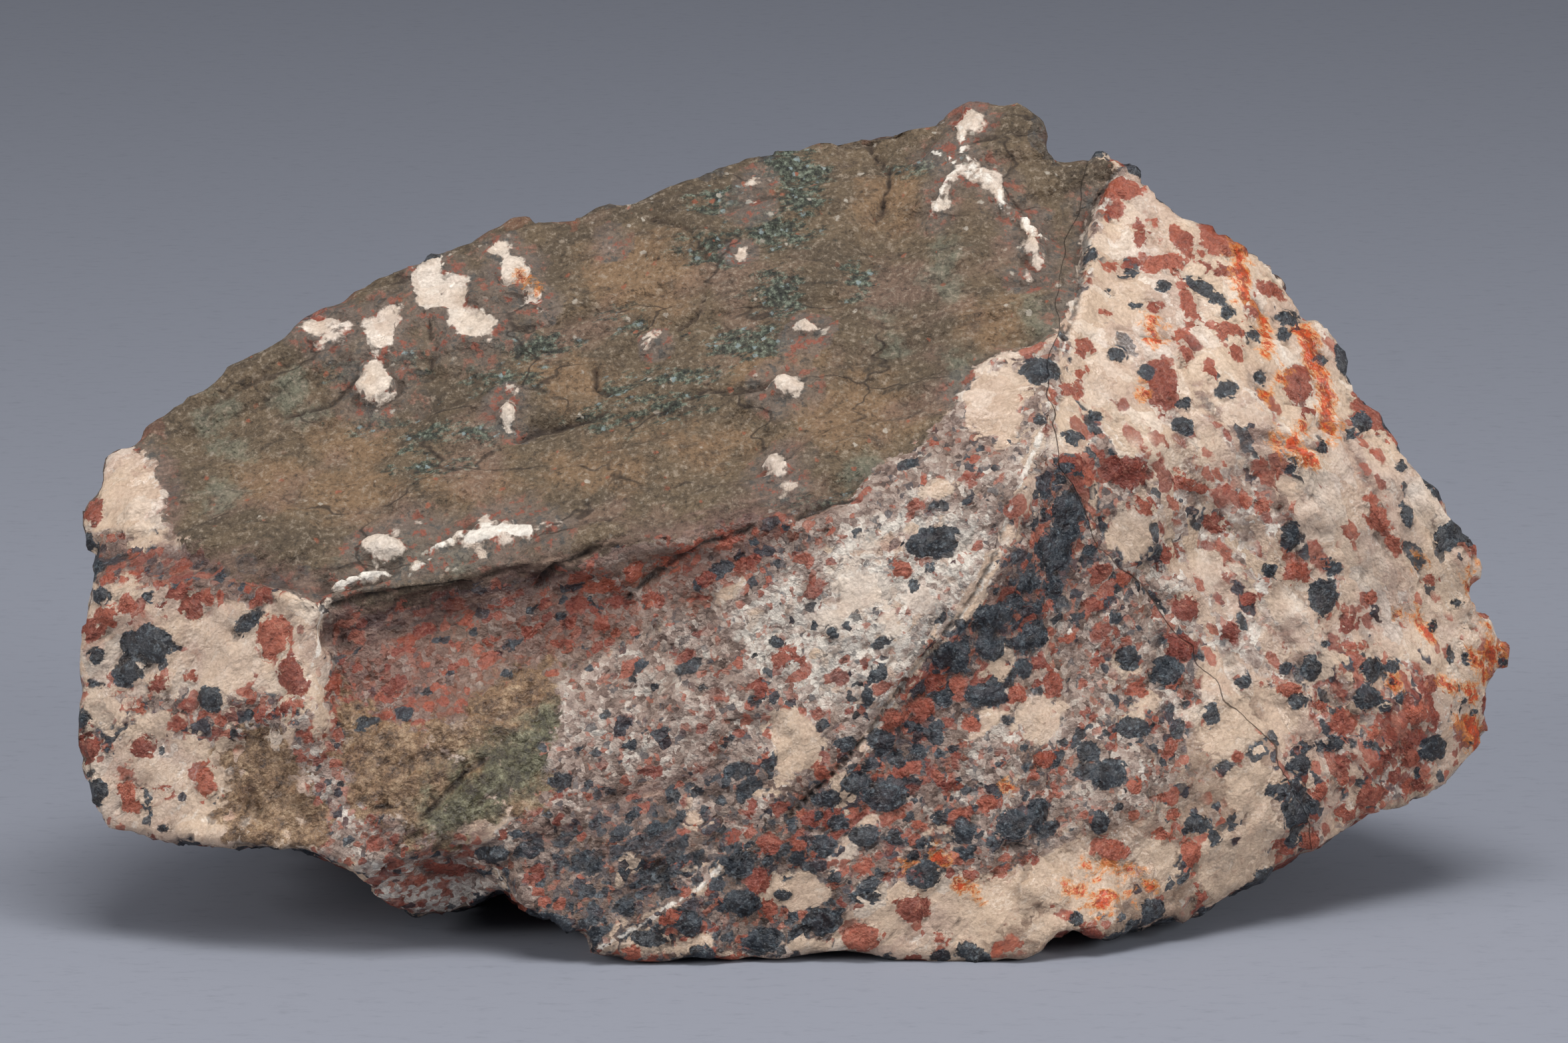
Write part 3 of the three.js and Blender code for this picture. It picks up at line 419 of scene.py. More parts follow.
# Noise patterns of the material: wave length in mm, detail, and how rough the detail is
PATTERNS = {
    "calcite cloud": (5.5, 3.0, 0.55),
    "thread": (0.8, 4.0, 0.7),
    "calcite speck": (0.55, 3.0, 0.7),
    "sugar fine": (0.9, 4.0, 0.7),
    "sugar broad": (4, 2.0, 0.55),
    "sugar red": (1.6, 3.0, 0.55),
    "sugar dark": (1.3, 3.0, 0.55),
    "grain black": (1.1, 2.0, 0.55),
    "grain glint": (0.45, 3.0, 0.7),
    "grain streak": (0.4, 3.0, 0.65),
    "coat cloud": (5, 4.0, 0.62),
    "coat rose": (9, 3.0, 0.55),
    "coat shade": (1.6, 4.0, 0.7),
    "coat edge": (2.8, 5.0, 0.7),
    "coat grit": (0.5, 3.0, 0.75),
    "crystal clump": (1.0, 5.0, 0.8),
    "halo spots": (1.0, 4.0, 0.65),
    "fleck crowd": (5, 2.0, 0.55),
    "crazing gaps": (7, 2.0, 0.55),
    "earth grit": (1.1, 5.0, 0.85),
    "earth gaps": (1.6, 4.0, 0.65),
    "moss edge": (3.0, 4.0, 0.65),
    "rust fine": (0.7, 3.0, 0.7),
    "rust bright": (1.6, 3.0, 0.55),
    "stain": (0.9, 5.0, 0.75),
    "ragged": (1.4, 3.0, 0.6),
    "finely ragged": (0.4, 2.0, 0.55),
    "tattered": (3.4, 3.0, 0.6),
    "loose edge": (2.4, 3.0, 0.55),
    "dirt": (1.8, 4.0, 0.65),
    "dusk streaks": (0.8, 4.0, 0.7),
    "freshness": (2.6, 3.0, 0.55),
    "speckle": (0.3, 3.0, 0.7),
    "roughness": (0.6, 4.0, 0.7),
    "floor fibre": (1.2, 3.0, 0.8),
}

# Sizes of the material's cells in mm, and its finish
CLEAVAGE_SIZE = 2.0
SUGAR_SIZE = 0.5
SMALL_GRAIN_SIZE = 0.85
MIDDLING_GRAIN_SIZE = 1.5
FLECK_SIZE = 0.62
CRAZING_SIZE = 7.5
THREAD_HEIGHT = 0.16
COAT_ROUGHNESS = 0.85
DARK_GRAIN_ROUGHNESS = 0.3
GRAIN_METALLIC = 0.1

# Slants of the front's patterns in degrees, up to the right
FABRIC_SLANT = 32
STEEP_SLANT = -58
COAT_SLANT = 18

# Tones that run from one value to the next: the value, then the colour as seen
SUGAR_TONES = ((0.0, 80, 64, 57), (0.22, 120, 98, 87), (0.45, 156, 134, 121), (0.7, 188, 168, 154),
               (1.0, 230, 219, 204))
# Dark-green crystals of the coat; the palest tone paints glints on them
CRYSTAL_AND_GLINT_TONES = ((0.1, 30, 38, 37), (0.5, 62, 72, 62), (1.0, 128, 140, 122))
EARTH_TONES = ((0.05, 54, 39, 29), (0.35, 116, 90, 67), (0.6, 150, 119, 88), (1.0, 200, 172, 138))
MOSS_TONES = ((0.1, 28, 32, 24), (0.55, 80, 85, 62), (1.0, 140, 144, 114))
# Tones of the dusky bands, which also serve as painted shade under the ledge
DUSK_AND_SHADE_TONES = ((0.0, 42, 30, 31), (0.4, 92, 68, 63), (0.7, 132, 104, 92), (1.0, 168, 138, 120))


def linear(red, green, blue):
    """A colour as seen, 0 to 255 each, as the renderer's own numbers."""
    parts = (value / 255 for value in (red, green, blue))
    return tuple(p / 12.92 if p <= 0.04045 else ((p + 0.055) / 1.055) ** 2.4 for p in parts)


TINTS = {
    # A duller cleavage piece, partly painted facet shade
    "dull shaded piece": linear(186, 154, 130),
    # Dirt tint, which on the lower right also paints shade
    "dirty and shaded calcite": linear(176, 150, 126),
    "dusky thread": linear(166, 120, 98),
    "brown speck": linear(140, 92, 72),
    "sugar red": linear(168, 96, 74),
    "sugar dark": linear(62, 62, 68),
    "pale red streak": linear(200, 140, 114),
    "dark red streak": linear(92, 42, 34),
    "grain black": linear(36, 38, 42),
    "dull coat": linear(95, 81, 64),
    "rosy coat": linear(142, 112, 98),
    "purple coat": linear(92, 74, 68),
    "pale grit": linear(172, 156, 136),
    "dark grit": linear(56, 49, 42),
    "halo": linear(122, 108, 100),
    "halo red": linear(150, 82, 64),
    "halo grey": linear(84, 84, 80),
    "pale fleck": linear(196, 186, 170),
    "red fleck": linear(156, 92, 68),
    "glinting fleck": linear(142, 156, 154),
    "fine crack": linear(50, 40, 33),
    "dark rust": linear(132, 44, 26),
    "bright rust": linear(216, 104, 38),
    # Soil tints, which on the lower right also paint shade
    "soil_and_shade": linear(126, 102, 84),
    "red soil and shade": linear(118, 78, 64),
    "dull speckle": linear(219, 217, 216),
    "clear speckle": linear(249, 249, 250),
    # Painted shade laid into hollows and at the risers of the coat's treads
    "hollow": linear(62, 48, 38),
    "crack": linear(42, 33, 28),
    "room light": linear(225, 230, 242),
}


def opaque(colour):
    return (*colour, 1.0)


def colour_property(name, description, seen):
    return bpy.props.FloatVectorProperty(
        name=name, description=description, default=linear(*seen), size=3, subtype="COLOR", min=0, max=1
    )


def length_property(name, description, millimetres):
    return bpy.props.FloatProperty(
        name=name, description=description, default=millimetres * MM, min=0, unit="LENGTH", precision=5
    )


class OreShape(bpy.types.PropertyGroup):
    """Sizes of the broken surface"""

    cell: length_property("Surface cell", "Size of the surface's mesh cells", 0.54)
    facet_height: length_property("Facet height", "How far broken facets stand out", 0.38)
    grain_dome: length_property("Grain dome", "How far a dark or red grain stands out", 0.22)
    crack_depth: length_property("Crack depth", "How deep the cracks are", 0.55)
    patch_rise: length_property("Patch rise", "How far calcite patches stand on the coat", 0.22)
    loose_grains: bpy.props.IntProperty(
        name="Loose grains", description="Grains strewn over the sides and the back", default=1100, min=0
    )
    seed: bpy.props.IntProperty(name="Seed", description="Chooses the strewn grains", default=7, min=0)


class OreColours(bpy.types.PropertyGroup):
    """Colours of the minerals"""

    calcite: colour_property("Calcite", "Cream mineral between the grains", (214, 188, 162))
    calcite_pink: colour_property("Pink calcite", "Rosy parts of the cream mineral", (194, 167, 148))
    calcite_white: colour_property("White calcite", "Fresh white parts and veins", (242, 233, 219))
    red: colour_property("Red-brown grains", "Rounded red-brown grains", (174, 92, 68))
    deep_red: colour_property("Deep red grains", "Darker red grains", (130, 58, 44))
    dark: colour_property("Dark grains", "Rounded blue-black grains", (58, 64, 70))
    glint: colour_property("Glints", "Bluish glints on dark grains", (116, 128, 134))
    coat: colour_property("Coat", "Brown coat of the slip face", (116, 98, 76))
    coat_tan: colour_property("Tan coat", "Warmer parts of the coat", (145, 115, 85))
    coat_shade: colour_property("Dark coat", "Dark specks of the coat", (66, 57, 48))
    green: colour_property("Green coat", "Grey-green parts of the coat", (124, 128, 110))
    rust: colour_property("Rust", "Orange-red stains", (204, 64, 18))
    ochre: colour_property("Ochre", "Yellow edge of the stains", (224, 142, 58))


class OreStage(bpy.types.PropertyGroup):
    """The studio round the stone"""

    floor: colour_property("Floor", "Colour of the floor", (134, 137, 147))
    overhead: bpy.props.FloatProperty(
        name="Overhead light", description="Power of the overhead softbox", default=4.2, min=0, unit="POWER"
    )
    sides: bpy.props.FloatProperty(
        name="Side lights", description="Power of each side softbox", default=3.2, min=0, unit="POWER"
    )
    ambient: bpy.props.FloatProperty(
        name="Ambient light", description="Strength of the light from all round", default=0.25, min=0
    )


def noise(points, wave, seed):
    """Smooth random heights from -1 to 1 at each point, with the given wave length."""
    cell = points / wave
    low = np.floor(cell).astype(np.int64)
    part = cell - low
    part = part * part * (3 - 2 * part)
    total = np.zeros(len(points))
    for corner in range(8):
        step = np.array([corner & 1, corner >> 1 & 1, corner >> 2 & 1])
        key = (low + step) @ HASH_STEPS + seed * HASH_SEED_STEP
        key = (key ^ key >> 13) * HASH_FACTOR & HASH_BITS
        value = (key ^ key >> 16) & VALUE_BITS
        weight = np.prod(np.where(step, part, 1 - part), axis=1)
        total += weight * (2 * value / VALUE_BITS - 1)
    return total


def ramp(values, low, high):
    """0 below low, 1 above high, and smooth between."""
    part = np.clip((values - low) / (high - low), 0, 1)
    return part * part * (3 - 2 * part)


class Rock:
    """The points and normals of the stone's surface, and ways to find places on it."""

    def __init__(self, stone):
        mesh = stone.data
        count = len(mesh.vertices)
        self.points = np.empty(count * 3)
        mesh.vertices.foreach_get("co", self.points)
        self.points = self.points.reshape(-1, 3) / MM
        self.normals = np.empty(count * 3)
        mesh.vertex_normals.foreach_get("vector", self.normals)
        self.normals = self.normals.reshape(-1, 3)
        self.tree = BVHTree.FromObject(stone, bpy.context.evaluated_depsgraph_get())
        self.finder = KDTree(count)
        for index, point in enumerate(self.points):
            self.finder.insert(point, index)
        self.finder.balance()
        sight = self.points - EYE
        depth = sight @ AWAY
        self.pixels = np.stack([
            PICTURE_PX[0] / 2 + sight @ RIGHT / depth * VIEW_DISTANCE / PIXEL,
            PICTURE_PX[1] / 2 - sight @ UP / depth * VIEW_DISTANCE / PIXEL,
        ], axis=1)
        self.facing = -self.normals @ AWAY

    def near(self, point, reach):
        """Indices of the points within reach of a place."""
        found = self.finder.find_range(Vector(point), reach)
        return np.array([index for _, index, _ in found], dtype=int)

    def under_pixel(self, pixel):
        """The place and normal that the line of sight through a pixel meets first."""
        across = (pixel[0] - PICTURE_PX[0] / 2) * PIXEL
        up = (PICTURE_PX[1] / 2 - pixel[1]) * PIXEL
        sight = PIVOT + RIGHT * across + UP * up - EYE
        place, normal, _, _ = self.tree.ray_cast(Vector(EYE * MM), Vector(sight).normalized())
        if place is None:
            return None, None
        return np.array(place) / MM, np.array(normal)

    def depth_in_patches(self, patches):
        """How deep each point lies inside the nearest oval patch, and that patch's own random tone."""
        inside = np.full(len(self.points), -FAR)
        tone = np.zeros(len(self.points))
        chance = np.random.default_rng(len(patches))
        for across, down, width, height, *turn in patches:
            own_tone = chance.random()
            place, normal = self.under_pixel((across, down))
            if place is None:
                continue
            half = np.array([width, height]) * PIXEL / 2
            turn = math.radians(turn[0] if turn else 0)
            self.add_patch(inside, tone, place, normal, half, turn, PATCH_DEPTH_SHARE, own_tone)
        return inside, tone

    def add_patch(self, inside, tone, place, normal, half, turn, share_deep, own_tone):
        """Adds one oval patch to the depths and tones, where it is the nearest."""
        near = self.near(place, PATCH_REACH * half.max() + 1)
        offset = self.points[near] - place
        across = offset @ RIGHT
        up = offset @ UP
        out = offset @ normal
        depth = offset @ AWAY
        along = across * math.cos(turn) + up * math.sin(turn)
        beside = up * math.cos(turn) - across * math.sin(turn)
        deep = share_deep * half.mean() + PATCH_DEPTH_MARGIN
        far = PATCH_REACH * half.mean() + PATCH_DEPTH_MARGIN
        parts = (along / half[0], beside / half[1], out / deep, depth / far)
        share = np.sqrt(sum(part ** 2 for part in parts))
        value = (1 - share) * half.min()
        better = value > inside[near]
        inside[near[better]] = value[better]
        tone[near[better]] = own_tone

    def depth_in_lines(self, lines):
        """How deep each point lies inside the nearest line."""
        inside = np.full(len(self.points), -FAR)
        for width, *corners in lines:
            half = width * PIXEL / 2
            places = [self.under_pixel(pixel)[0] for pixel in even_steps(corners, LINE_STEP_PX)]
            places = [place for place in places if place is not None]
            for start, end in zip(places, places[1:]):
                span = end - start
                near = self.near((start + end) / 2, np.linalg.norm(span) / 2 + half + LINE_REACH)
                offset = self.points[near] - start
                part = np.clip(offset @ span / max(span @ span, 1e-9), 0, 1)
                distance = np.linalg.norm(offset - part[:, None] * span, axis=1)
                inside[near] = np.maximum(inside[near], half - distance)
        return inside

    def depth_in_area(self, corners):
        """How deep each point lies inside an area of the front, in mm; the back lies outside."""
        corners = np.array(corners, float)
        pixels = self.pixels
        distance = np.full(len(pixels), np.inf)
        odd = np.zeros(len(pixels), bool)
        for start, end in zip(corners, np.roll(corners, -1, axis=0)):
            span = end - start
            offset = pixels - start
            part = np.clip(offset @ span / (span @ span), 0, 1)
            distance = np.minimum(distance, np.linalg.norm(offset - part[:, None] * span, axis=1))
            crosses = (start[1] > pixels[:, 1]) != (end[1] > pixels[:, 1])
            slope = span[0] / span[1] if span[1] else 0.0
            odd ^= crosses & (pixels[:, 0] < start[0] + (pixels[:, 1] - start[1]) * slope)
        inside = np.where(odd, distance, -distance) * PIXEL
        return np.minimum(np.clip(inside, -FAR, FAR), (self.facing - FRONT_FACING) * FRONT_FALL)


def even_steps(corners, step):
    """Places along a broken line, about one step apart."""
    places = []
    for start, end in zip(corners, corners[1:]):
        start = np.array(start, float)
        end = np.array(end, float)
        count = max(1, round(np.linalg.norm(end - start) / step))
        places += [start + (end - start) * k / count for k in range(count)]
    return places + [np.array(corners[-1], float)]


def fine_copy(node, cell):
    """A copy of the stone's body with an even, fine mesh."""
    rough = bpy.data.objects.new("rough", node.data.copy())
    bpy.context.collection.objects.link(rough)
    remesh = rough.modifiers.new("remesh", "REMESH")
    remesh.mode = "VOXEL"
    remesh.voxel_size = cell
    remesh.use_smooth_shade = True
    depsgraph = bpy.context.evaluated_depsgraph_get()
    mesh = bpy.data.meshes.new_from_object(rough.evaluated_get(depsgraph))
    bpy.data.objects.remove(rough)
    mesh.materials.clear()
    mesh.name = SURFACE
    stone = bpy.data.objects.new(SURFACE, mesh)
    bpy.context.collection.objects.link(stone)
    return stone


def facets(points, size, seed, spread=0.5):
    """Heights of tilted broken facets of about the given size, from -1 to 1."""
    chance = np.random.default_rng(seed)
    low = points.min(axis=0) - size
    high = points.max(axis=0) + size
    count = int(np.prod((high - low) / size))
    seeds = low + chance.random((count, 3)) * (high - low)
    tilts = chance.normal(size=(count, 3))
    tilts /= np.linalg.norm(tilts, axis=1)[:, None]
    finder = KDTree(count)
    for index, place in enumerate(seeds):
        finder.insert(place, index)
    finder.balance()
    bent = points + spread * np.stack([noise(points, size * 0.4, seed + k) for k in range(3)], axis=1)
    nearest = np.array([finder.find(place)[1] for place in bent])
    return np.clip(np.einsum("ij,ij->i", tilts[nearest], points - seeds[nearest]) / size, -1, 1)


def strewn_grains(rock, count, seed, free):
    """Random grains on the parts of the stone that are free of named ones: depth inside and tone, twice."""
    chance = np.random.default_rng(seed)
    dark = np.full(len(rock.points), -FAR)
    red = dark.copy()
    dark_tone = np.zeros(len(rock.points))
    red_tone = dark_tone.copy()
    chosen = chance.choice(len(rock.points), size=count, replace=False, p=free / free.sum())
    crowd = noise(rock.points, STREWN_CROWD_WAVE, seed)
    for index in chosen:
        half = np.exp(chance.normal(-0.05, STREWN_SPREAD)) * np.array([1.0, chance.uniform(0.6, 1.0)])
        half = half * STREWN_HALF_WIDTH
        is_dark = chance.random() < STREWN_DARK_SHARE + STREWN_CROWDING * crowd[index]
        inside, tone = (dark, dark_tone) if is_dark else (red, red_tone)
        rock.add_patch(inside, tone, rock.points[index], rock.normals[index], half,
                       chance.uniform(0, math.pi), 1.0, chance.random())
    return dark, dark_tone, red, red_tone


def mixture_layers(rock, wobble, hidden):
    """The shares of the fine mixture's parts at each point, from 0 to 1, and how far it is a mixture."""
    clump = noise(rock.points, 4.5, 61)
    names = ("sugar", "small_red", "small_dark", "dirt", "white")
    layers = {name: np.full(len(rock.points), share) for name, share in zip(names, PLAIN_CALCITE_SHARES)}
    for corners, *shares in MIXTURES_PX:
        inside = ramp(rock.depth_in_area(corners) + wobble, -0.9, 0.9)
        for name, share in zip(names, shares):
            layers[name] += (share - layers[name]) * inside
    cloud = {name: 0.5 + 0.9 * noise(rock.points, 14, 62 + k) for k, name in enumerate(names)}
    for name, most in zip(names, HIDDEN_SHARES):
        unseen = most * np.clip(cloud[name], 0, 1)
        layers[name] += (unseen - layers[name]) * hidden
    for name in ("small_red", "small_dark"):
        layers[name] = np.clip(layers[name] * (1 + 0.6 * clump), 0, 1)
    return layers


def read_minerals(rock, shape):
    """The depth of every point inside each mineral, in mm, as named layers, and the mixture's shares."""
    wobble = 0.9 * noise(rock.points, 5, 11) + 0.5 * noise(rock.points, 1.7, 12)
    coat = rock.depth_in_area(COAT_PX) + 0.5 * wobble
    earth = np.maximum(rock.depth_in_area(EARTH_PX), rock.depth_in_area(LEFT_EARTH_PX)) + wobble
    hidden = ramp(-rock.facing, -0.2, 0.0)
    edge_coat = 4 * noise(rock.points, 15, 23) + 1.5 * noise(rock.points, 4, 24) - 1.8
    near_top = ramp(rock.facing, -0.6, 0.0) * ramp(rock.points[:, 2], 30, 38)
    edge_coat += 8 * near_top * ramp(-rock.points[:, 0], -28, -22)
    coat = coat + (edge_coat - coat) * hidden

    cream = rock.depth_in_patches(CREAM_PATCHES_PX)[0]
    cream += 0.9 * noise(rock.points, 2.8, 71) + 0.5 * noise(rock.points, 1.3, 72)
    dark, dark_tone = rock.depth_in_patches(DARK_GRAINS_PX)
    red, red_tone = rock.depth_in_patches(RED_GRAINS_PX)
    taken = np.maximum(dark, red) > -0.6
    free = (rock.facing < 0.15) & ~taken
    strewn = strewn_grains(rock, shape.loose_grains, shape.seed, free)
    dark_tone = np.where(strewn[0] > dark, strewn[1], dark_tone)
    dark = np.maximum(dark, strewn[0])
    red_tone = np.where(strewn[2] > red, strewn[3], red_tone)
    red = np.maximum(red, strewn[2])
    return {
        "coat": coat,
        "earth": earth,
        "steep": rock.depth_in_area(STEEP_FABRIC_PX) + wobble,
        "moss": rock.depth_in_area(MOSS_PX) + wobble,
        **mixture_layers(rock, wobble, hidden),
        "cream": np.maximum(cream, rock.depth_in_lines(WHITE_VEINS_PX)),
        "vein": rock.depth_in_lines(WHITE_VEINS_PX),
        "tan": rock.depth_in_patches(TAN_PATCHES_PX)[0],
        "green": rock.depth_in_patches(GREEN_PATCHES_PX)[0],
        "sooty": rock.depth_in_patches(SOOTY_PATCHES_PX)[0],
        "dusk": rock.depth_in_lines(DUSKY_AND_SHADED_BANDS_PX),
        "crack": rock.depth_in_lines(CRACKS_PX),
        "rust": rock.depth_in_lines(RUST_STAINS_PX),
        "dark": dark,
        "dark_tone": dark_tone,
        "red": red,
        "red_tone": red_tone,
    }


def terraces(height, step_height, rise):
    """Heights drawn together into treads with short risers between them."""
    level = np.floor(height / step_height)
    part = height / step_height - level
    return (level + ramp(part, 1 - rise, 1)) * step_height


def relief(rock, layers, shape):
    """How far each point moves out along its normal, in mm."""
    points = rock.points
    on_coat = ramp(layers["coat"], -0.6, 0.6) * (1 - ramp(layers["cream"], -0.2, 0.3))
    facet_height = shape.facet_height / MM
    broken = sum(strength * facets(points, size, seed) for size, seed, strength in FACET_SIZES)
    broken *= facet_height
    broken += sum(strength * noise(points, wave, seed) for wave, seed, strength in ROCK_WAVES)
    slant = math.radians(COAT_SLANT)
    along = points @ np.array([math.cos(slant), 0, math.sin(slant)])
    beside = points @ np.array([-math.sin(slant), 0, math.cos(slant)])
    streaked = np.stack([COAT_STRETCH * along, points[:, 1], beside], axis=1)
    rough_worn = 1.1 * noise(streaked, 9, 41) + 0.5 * noise(streaked, 3.4, 42)
    worn = terraces(rough_worn, TREAD_HEIGHT, TREAD_RISE)
    worn += 0.16 * noise(streaked, 1.9, 46) + 0.1 * noise(points, 0.95, 43)
    worn -= PIT_DEPTH * ramp(noise(streaked, PIT_WAVE, 44), 0.3, 0.6)
    height = broken * (1 - 0.85 * on_coat) + worn * on_coat
    grains = np.maximum(layers["dark"], layers["red"])
    height += shape.grain_dome / MM * ramp(grains, -0.15, 0.55) * (1 - 0.5 * on_coat)
    rim = GRAIN_RIM_WIDTH - np.abs(grains + 0.1)
    height -= GRAIN_RIM_DEPTH * ramp(rim, 0, GRAIN_RIM_WIDTH) * (1 - on_coat)
    height += shape.patch_rise / MM * ramp(layers["cream"], -0.15, 0.3) * ramp(layers["coat"], -0.6, 0.6)
    height -= shape.crack_depth / MM * ramp(layers["crack"], -0.4, 0.1)
    height -= DUSK_DEPTH * ramp(layers["dusk"], -0.5, 0.6) * (1 + noise(streaked, 1.6, 45))
    crumbs = noise(streaked, 1.4, 47) + noise(points, 0.9, 48)
    height += EARTH_HEIGHT * ramp(layers["earth"], -0.5, 1.0) * crumbs
    resting = ramp(points[:, 2], 0.15, 1.2)
    return height * resting


def shape_surface(stone, rock, height):
    """Moves the surface, keeps it inside the stone's box, and gives how far each point sinks below its
    neighbours, which later sets the painted shade in hollows.
    """
    moved = rock.points + rock.normals * height[:, None]
    low, high = (np.array(corner) / MM for corner in STONE_BOX)
    moved = np.clip(moved, low, high)
    stone.data.vertices.foreach_set("co", (moved * MM).ravel())
    edges = np.empty(len(stone.data.edges) * 2, int)
    stone.data.edges.foreach_get("vertices", edges)
    edges = edges.reshape(-1, 2)
    around = height.copy()
    for _ in range(3):
        total = np.zeros(len(height))
        count = np.zeros(len(height))
        for here, there in (edges.T, edges.T[::-1]):
            np.add.at(total, here, around[there])
            np.add.at(count, here, 1)
        around = total / np.maximum(count, 1)
    stone.data.update()
    return around - height


def store_layer(mesh, name, values):
    attribute = mesh.attributes.new(name, "FLOAT", "POINT")
    attribute.data.foreach_set("value", values.astype(np.float32))


class Wire:
    """A socket that gives a value; sums on it add Math nodes."""

    def __init__(self, nodes, socket):
        self.nodes = nodes
        self.socket = socket

    def output(self, name):
        """Another output of the same node."""
        return Wire(self.nodes, self.socket.node.outputs[name])

    def sum_with(self, operation, *operands):
        return self.nodes.add("ShaderNodeMath", {"operation": operation}, dict(enumerate(operands)))

    def __add__(self, other):
        return self.sum_with("ADD", self, other)

    __radd__ = __add__

    def __sub__(self, other):
        return self.sum_with("SUBTRACT", self, other)

    def __rsub__(self, other):
        return self.sum_with("SUBTRACT", other, self)

    def __mul__(self, other):
        return self.sum_with("MULTIPLY", self, other)

    __rmul__ = __mul__


class Nodes:
    """Builds one material's nodes."""

    def __init__(self, name):
        self.material = bpy.data.materials.new(name)
        self.material.use_nodes = True
        self.tree = self.material.node_tree
        self.tree.nodes.clear()

    def add(self, kind, settings=None, inputs=None, output=0):
        """Adds a node: its settings first, then its sockets' values or links. Gives one output."""
        node = self.tree.nodes.new(kind)
        for name, value in (settings or {}).items():
            if name == "stops":
                self.set_stops(node.color_ramp, value)
            else:
                setattr(node, name, value)
        for name, value in (inputs or {}).items():
            socket = node.inputs[name]
            if isinstance(value, Wire):
                self.tree.links.new(value.socket, socket)
            else:
                socket.default_value = value
        return Wire(self, node.outputs[output]) if node.outputs else node

    @staticmethod
    def set_stops(color_ramp, stops):
        while len(color_ramp.elements) > 1:
            color_ramp.elements.remove(color_ramp.elements[-1])
        color_ramp.elements[0].position = stops[0][0]
        color_ramp.elements[0].color = stops[0][1]
        for position, colour in stops[1:]:
            color_ramp.elements.new(position).color = colour

    def place(self):
        return self.add("ShaderNodeTexCoord", output="Object")

    def layer(self, name):
        return self.add("ShaderNodeAttribute", {"attribute_name": name}, output="Fac")

    def swell(self, place, pattern):
        """Noise around 0, from about -0.5 to 0.5, of a named pattern."""
        wave, detail, rough = PATTERNS[pattern]
        inputs = {"Vector": place, "Scale": 1 / (wave * MM), "Detail": detail, "Roughness": rough}
        return self.add("ShaderNodeTexNoise", {}, inputs) - 0.5

    def cells(self, place, size, feature="F1"):
        """Random cells of about a size in mm: how far each place is from its cell's middle, in sizes."""
        inputs = {"Vector": place, "Scale": 1 / (size * MM)}
        return self.add("ShaderNodeTexVoronoi", {"feature": feature}, inputs)

    def vector(self, operation, *operands, output=0):
        return self.add("ShaderNodeVectorMath", {"operation": operation}, dict(enumerate(operands)), output)

    def stir(self, place, wave, reach):
        """Places moved about by noise: waves and reach in mm."""
        inputs = {"Vector": place, "Scale": 1 / (wave * MM), "Detail": 2.0, "Roughness": 0.6}
        push = self.add("ShaderNodeTexNoise", {}, inputs, "Color")
        push = self.vector("SUBTRACT", push, (0.5, 0.5, 0.5))
        return self.vector("ADD", place, self.vector("MULTIPLY", push, (reach * MM,) * 3))

    def drawn_out(self, place, degrees, share):
        """Places whose patterns are drawn out along a slant of the front, up to the right."""
        inputs = {"Vector": place, "Angle": math.radians(degrees)}
        turned = self.add("ShaderNodeVectorRotate", {"rotation_type": "Y_AXIS"}, inputs)
        return self.vector("MULTIPLY", turned, (share, 1.0, 1.0))

    def along_fabric(self, place, share):
        """Places drawn out along the rock's own grain, which is steep at the right."""
        slanting = self.drawn_out(place, FABRIC_SLANT, share)
        steep = self.drawn_out(place, STEEP_SLANT, share * 0.6)
        is_steep = self.step(self.layer("steep"), -0.05, 0.05)
        settings = {"data_type": "VECTOR"}
        return self.add("ShaderNodeMix", settings, {0: is_steep, 4: slanting, 5: steep}, 1)

    def tilted(self, place, cells, slope):
        """The height in mm of a flat break in each cell, each one tilted its own way."""
        offset = self.vector("SUBTRACT", place, cells.output("Position"))
        tilt = self.vector("SUBTRACT", cells.output("Color"), (0.5, 0.5, 0.5))
        return self.vector("DOT_PRODUCT", offset, tilt, output="Value") * (2 * slope / MM)

    def step(self, value, low, high):
        """0 below low, 1 above high, smooth between."""
        inputs = {"Value": value, "From Min": low, "From Max": high}
        return self.add("ShaderNodeMapRange", {"interpolation_type": "SMOOTHSTEP"}, inputs)

    def mix(self, share, first, second, blend="MIX"):
        """A colour between two colours; a plain colour is a tuple."""
        first = first if isinstance(first, Wire) else opaque(first)
        second = second if isinstance(second, Wire) else opaque(second)
        settings = {"data_type": "RGBA", "blend_type": blend}
        return self.add("ShaderNodeMix", settings, {0: share, 6: first, 7: second}, 2)

    def tint(self, colour, value, low, high, strength, other):
        """A colour that turns into another one as a value goes from low to high."""
        return self.mix(self.step(value, low, high) * strength, colour, other)

    def blend_values(self, share, first, second):
        return self.add("ShaderNodeMix", {"data_type": "FLOAT"}, {0: share, 2: first, 3: second}, 0)

    def channel(self, colour, name):
        return self.add("ShaderNodeSeparateColor", {}, {0: colour}, name)

    def tones(self, value, tones):
        """A colour that runs through the given tones as the value goes from 0 to 1."""
        stops = [(position, opaque(linear(*seen))) for position, *seen in tones]
        return self.add("ShaderNodeValToRGB", {"stops": stops}, {0: value})


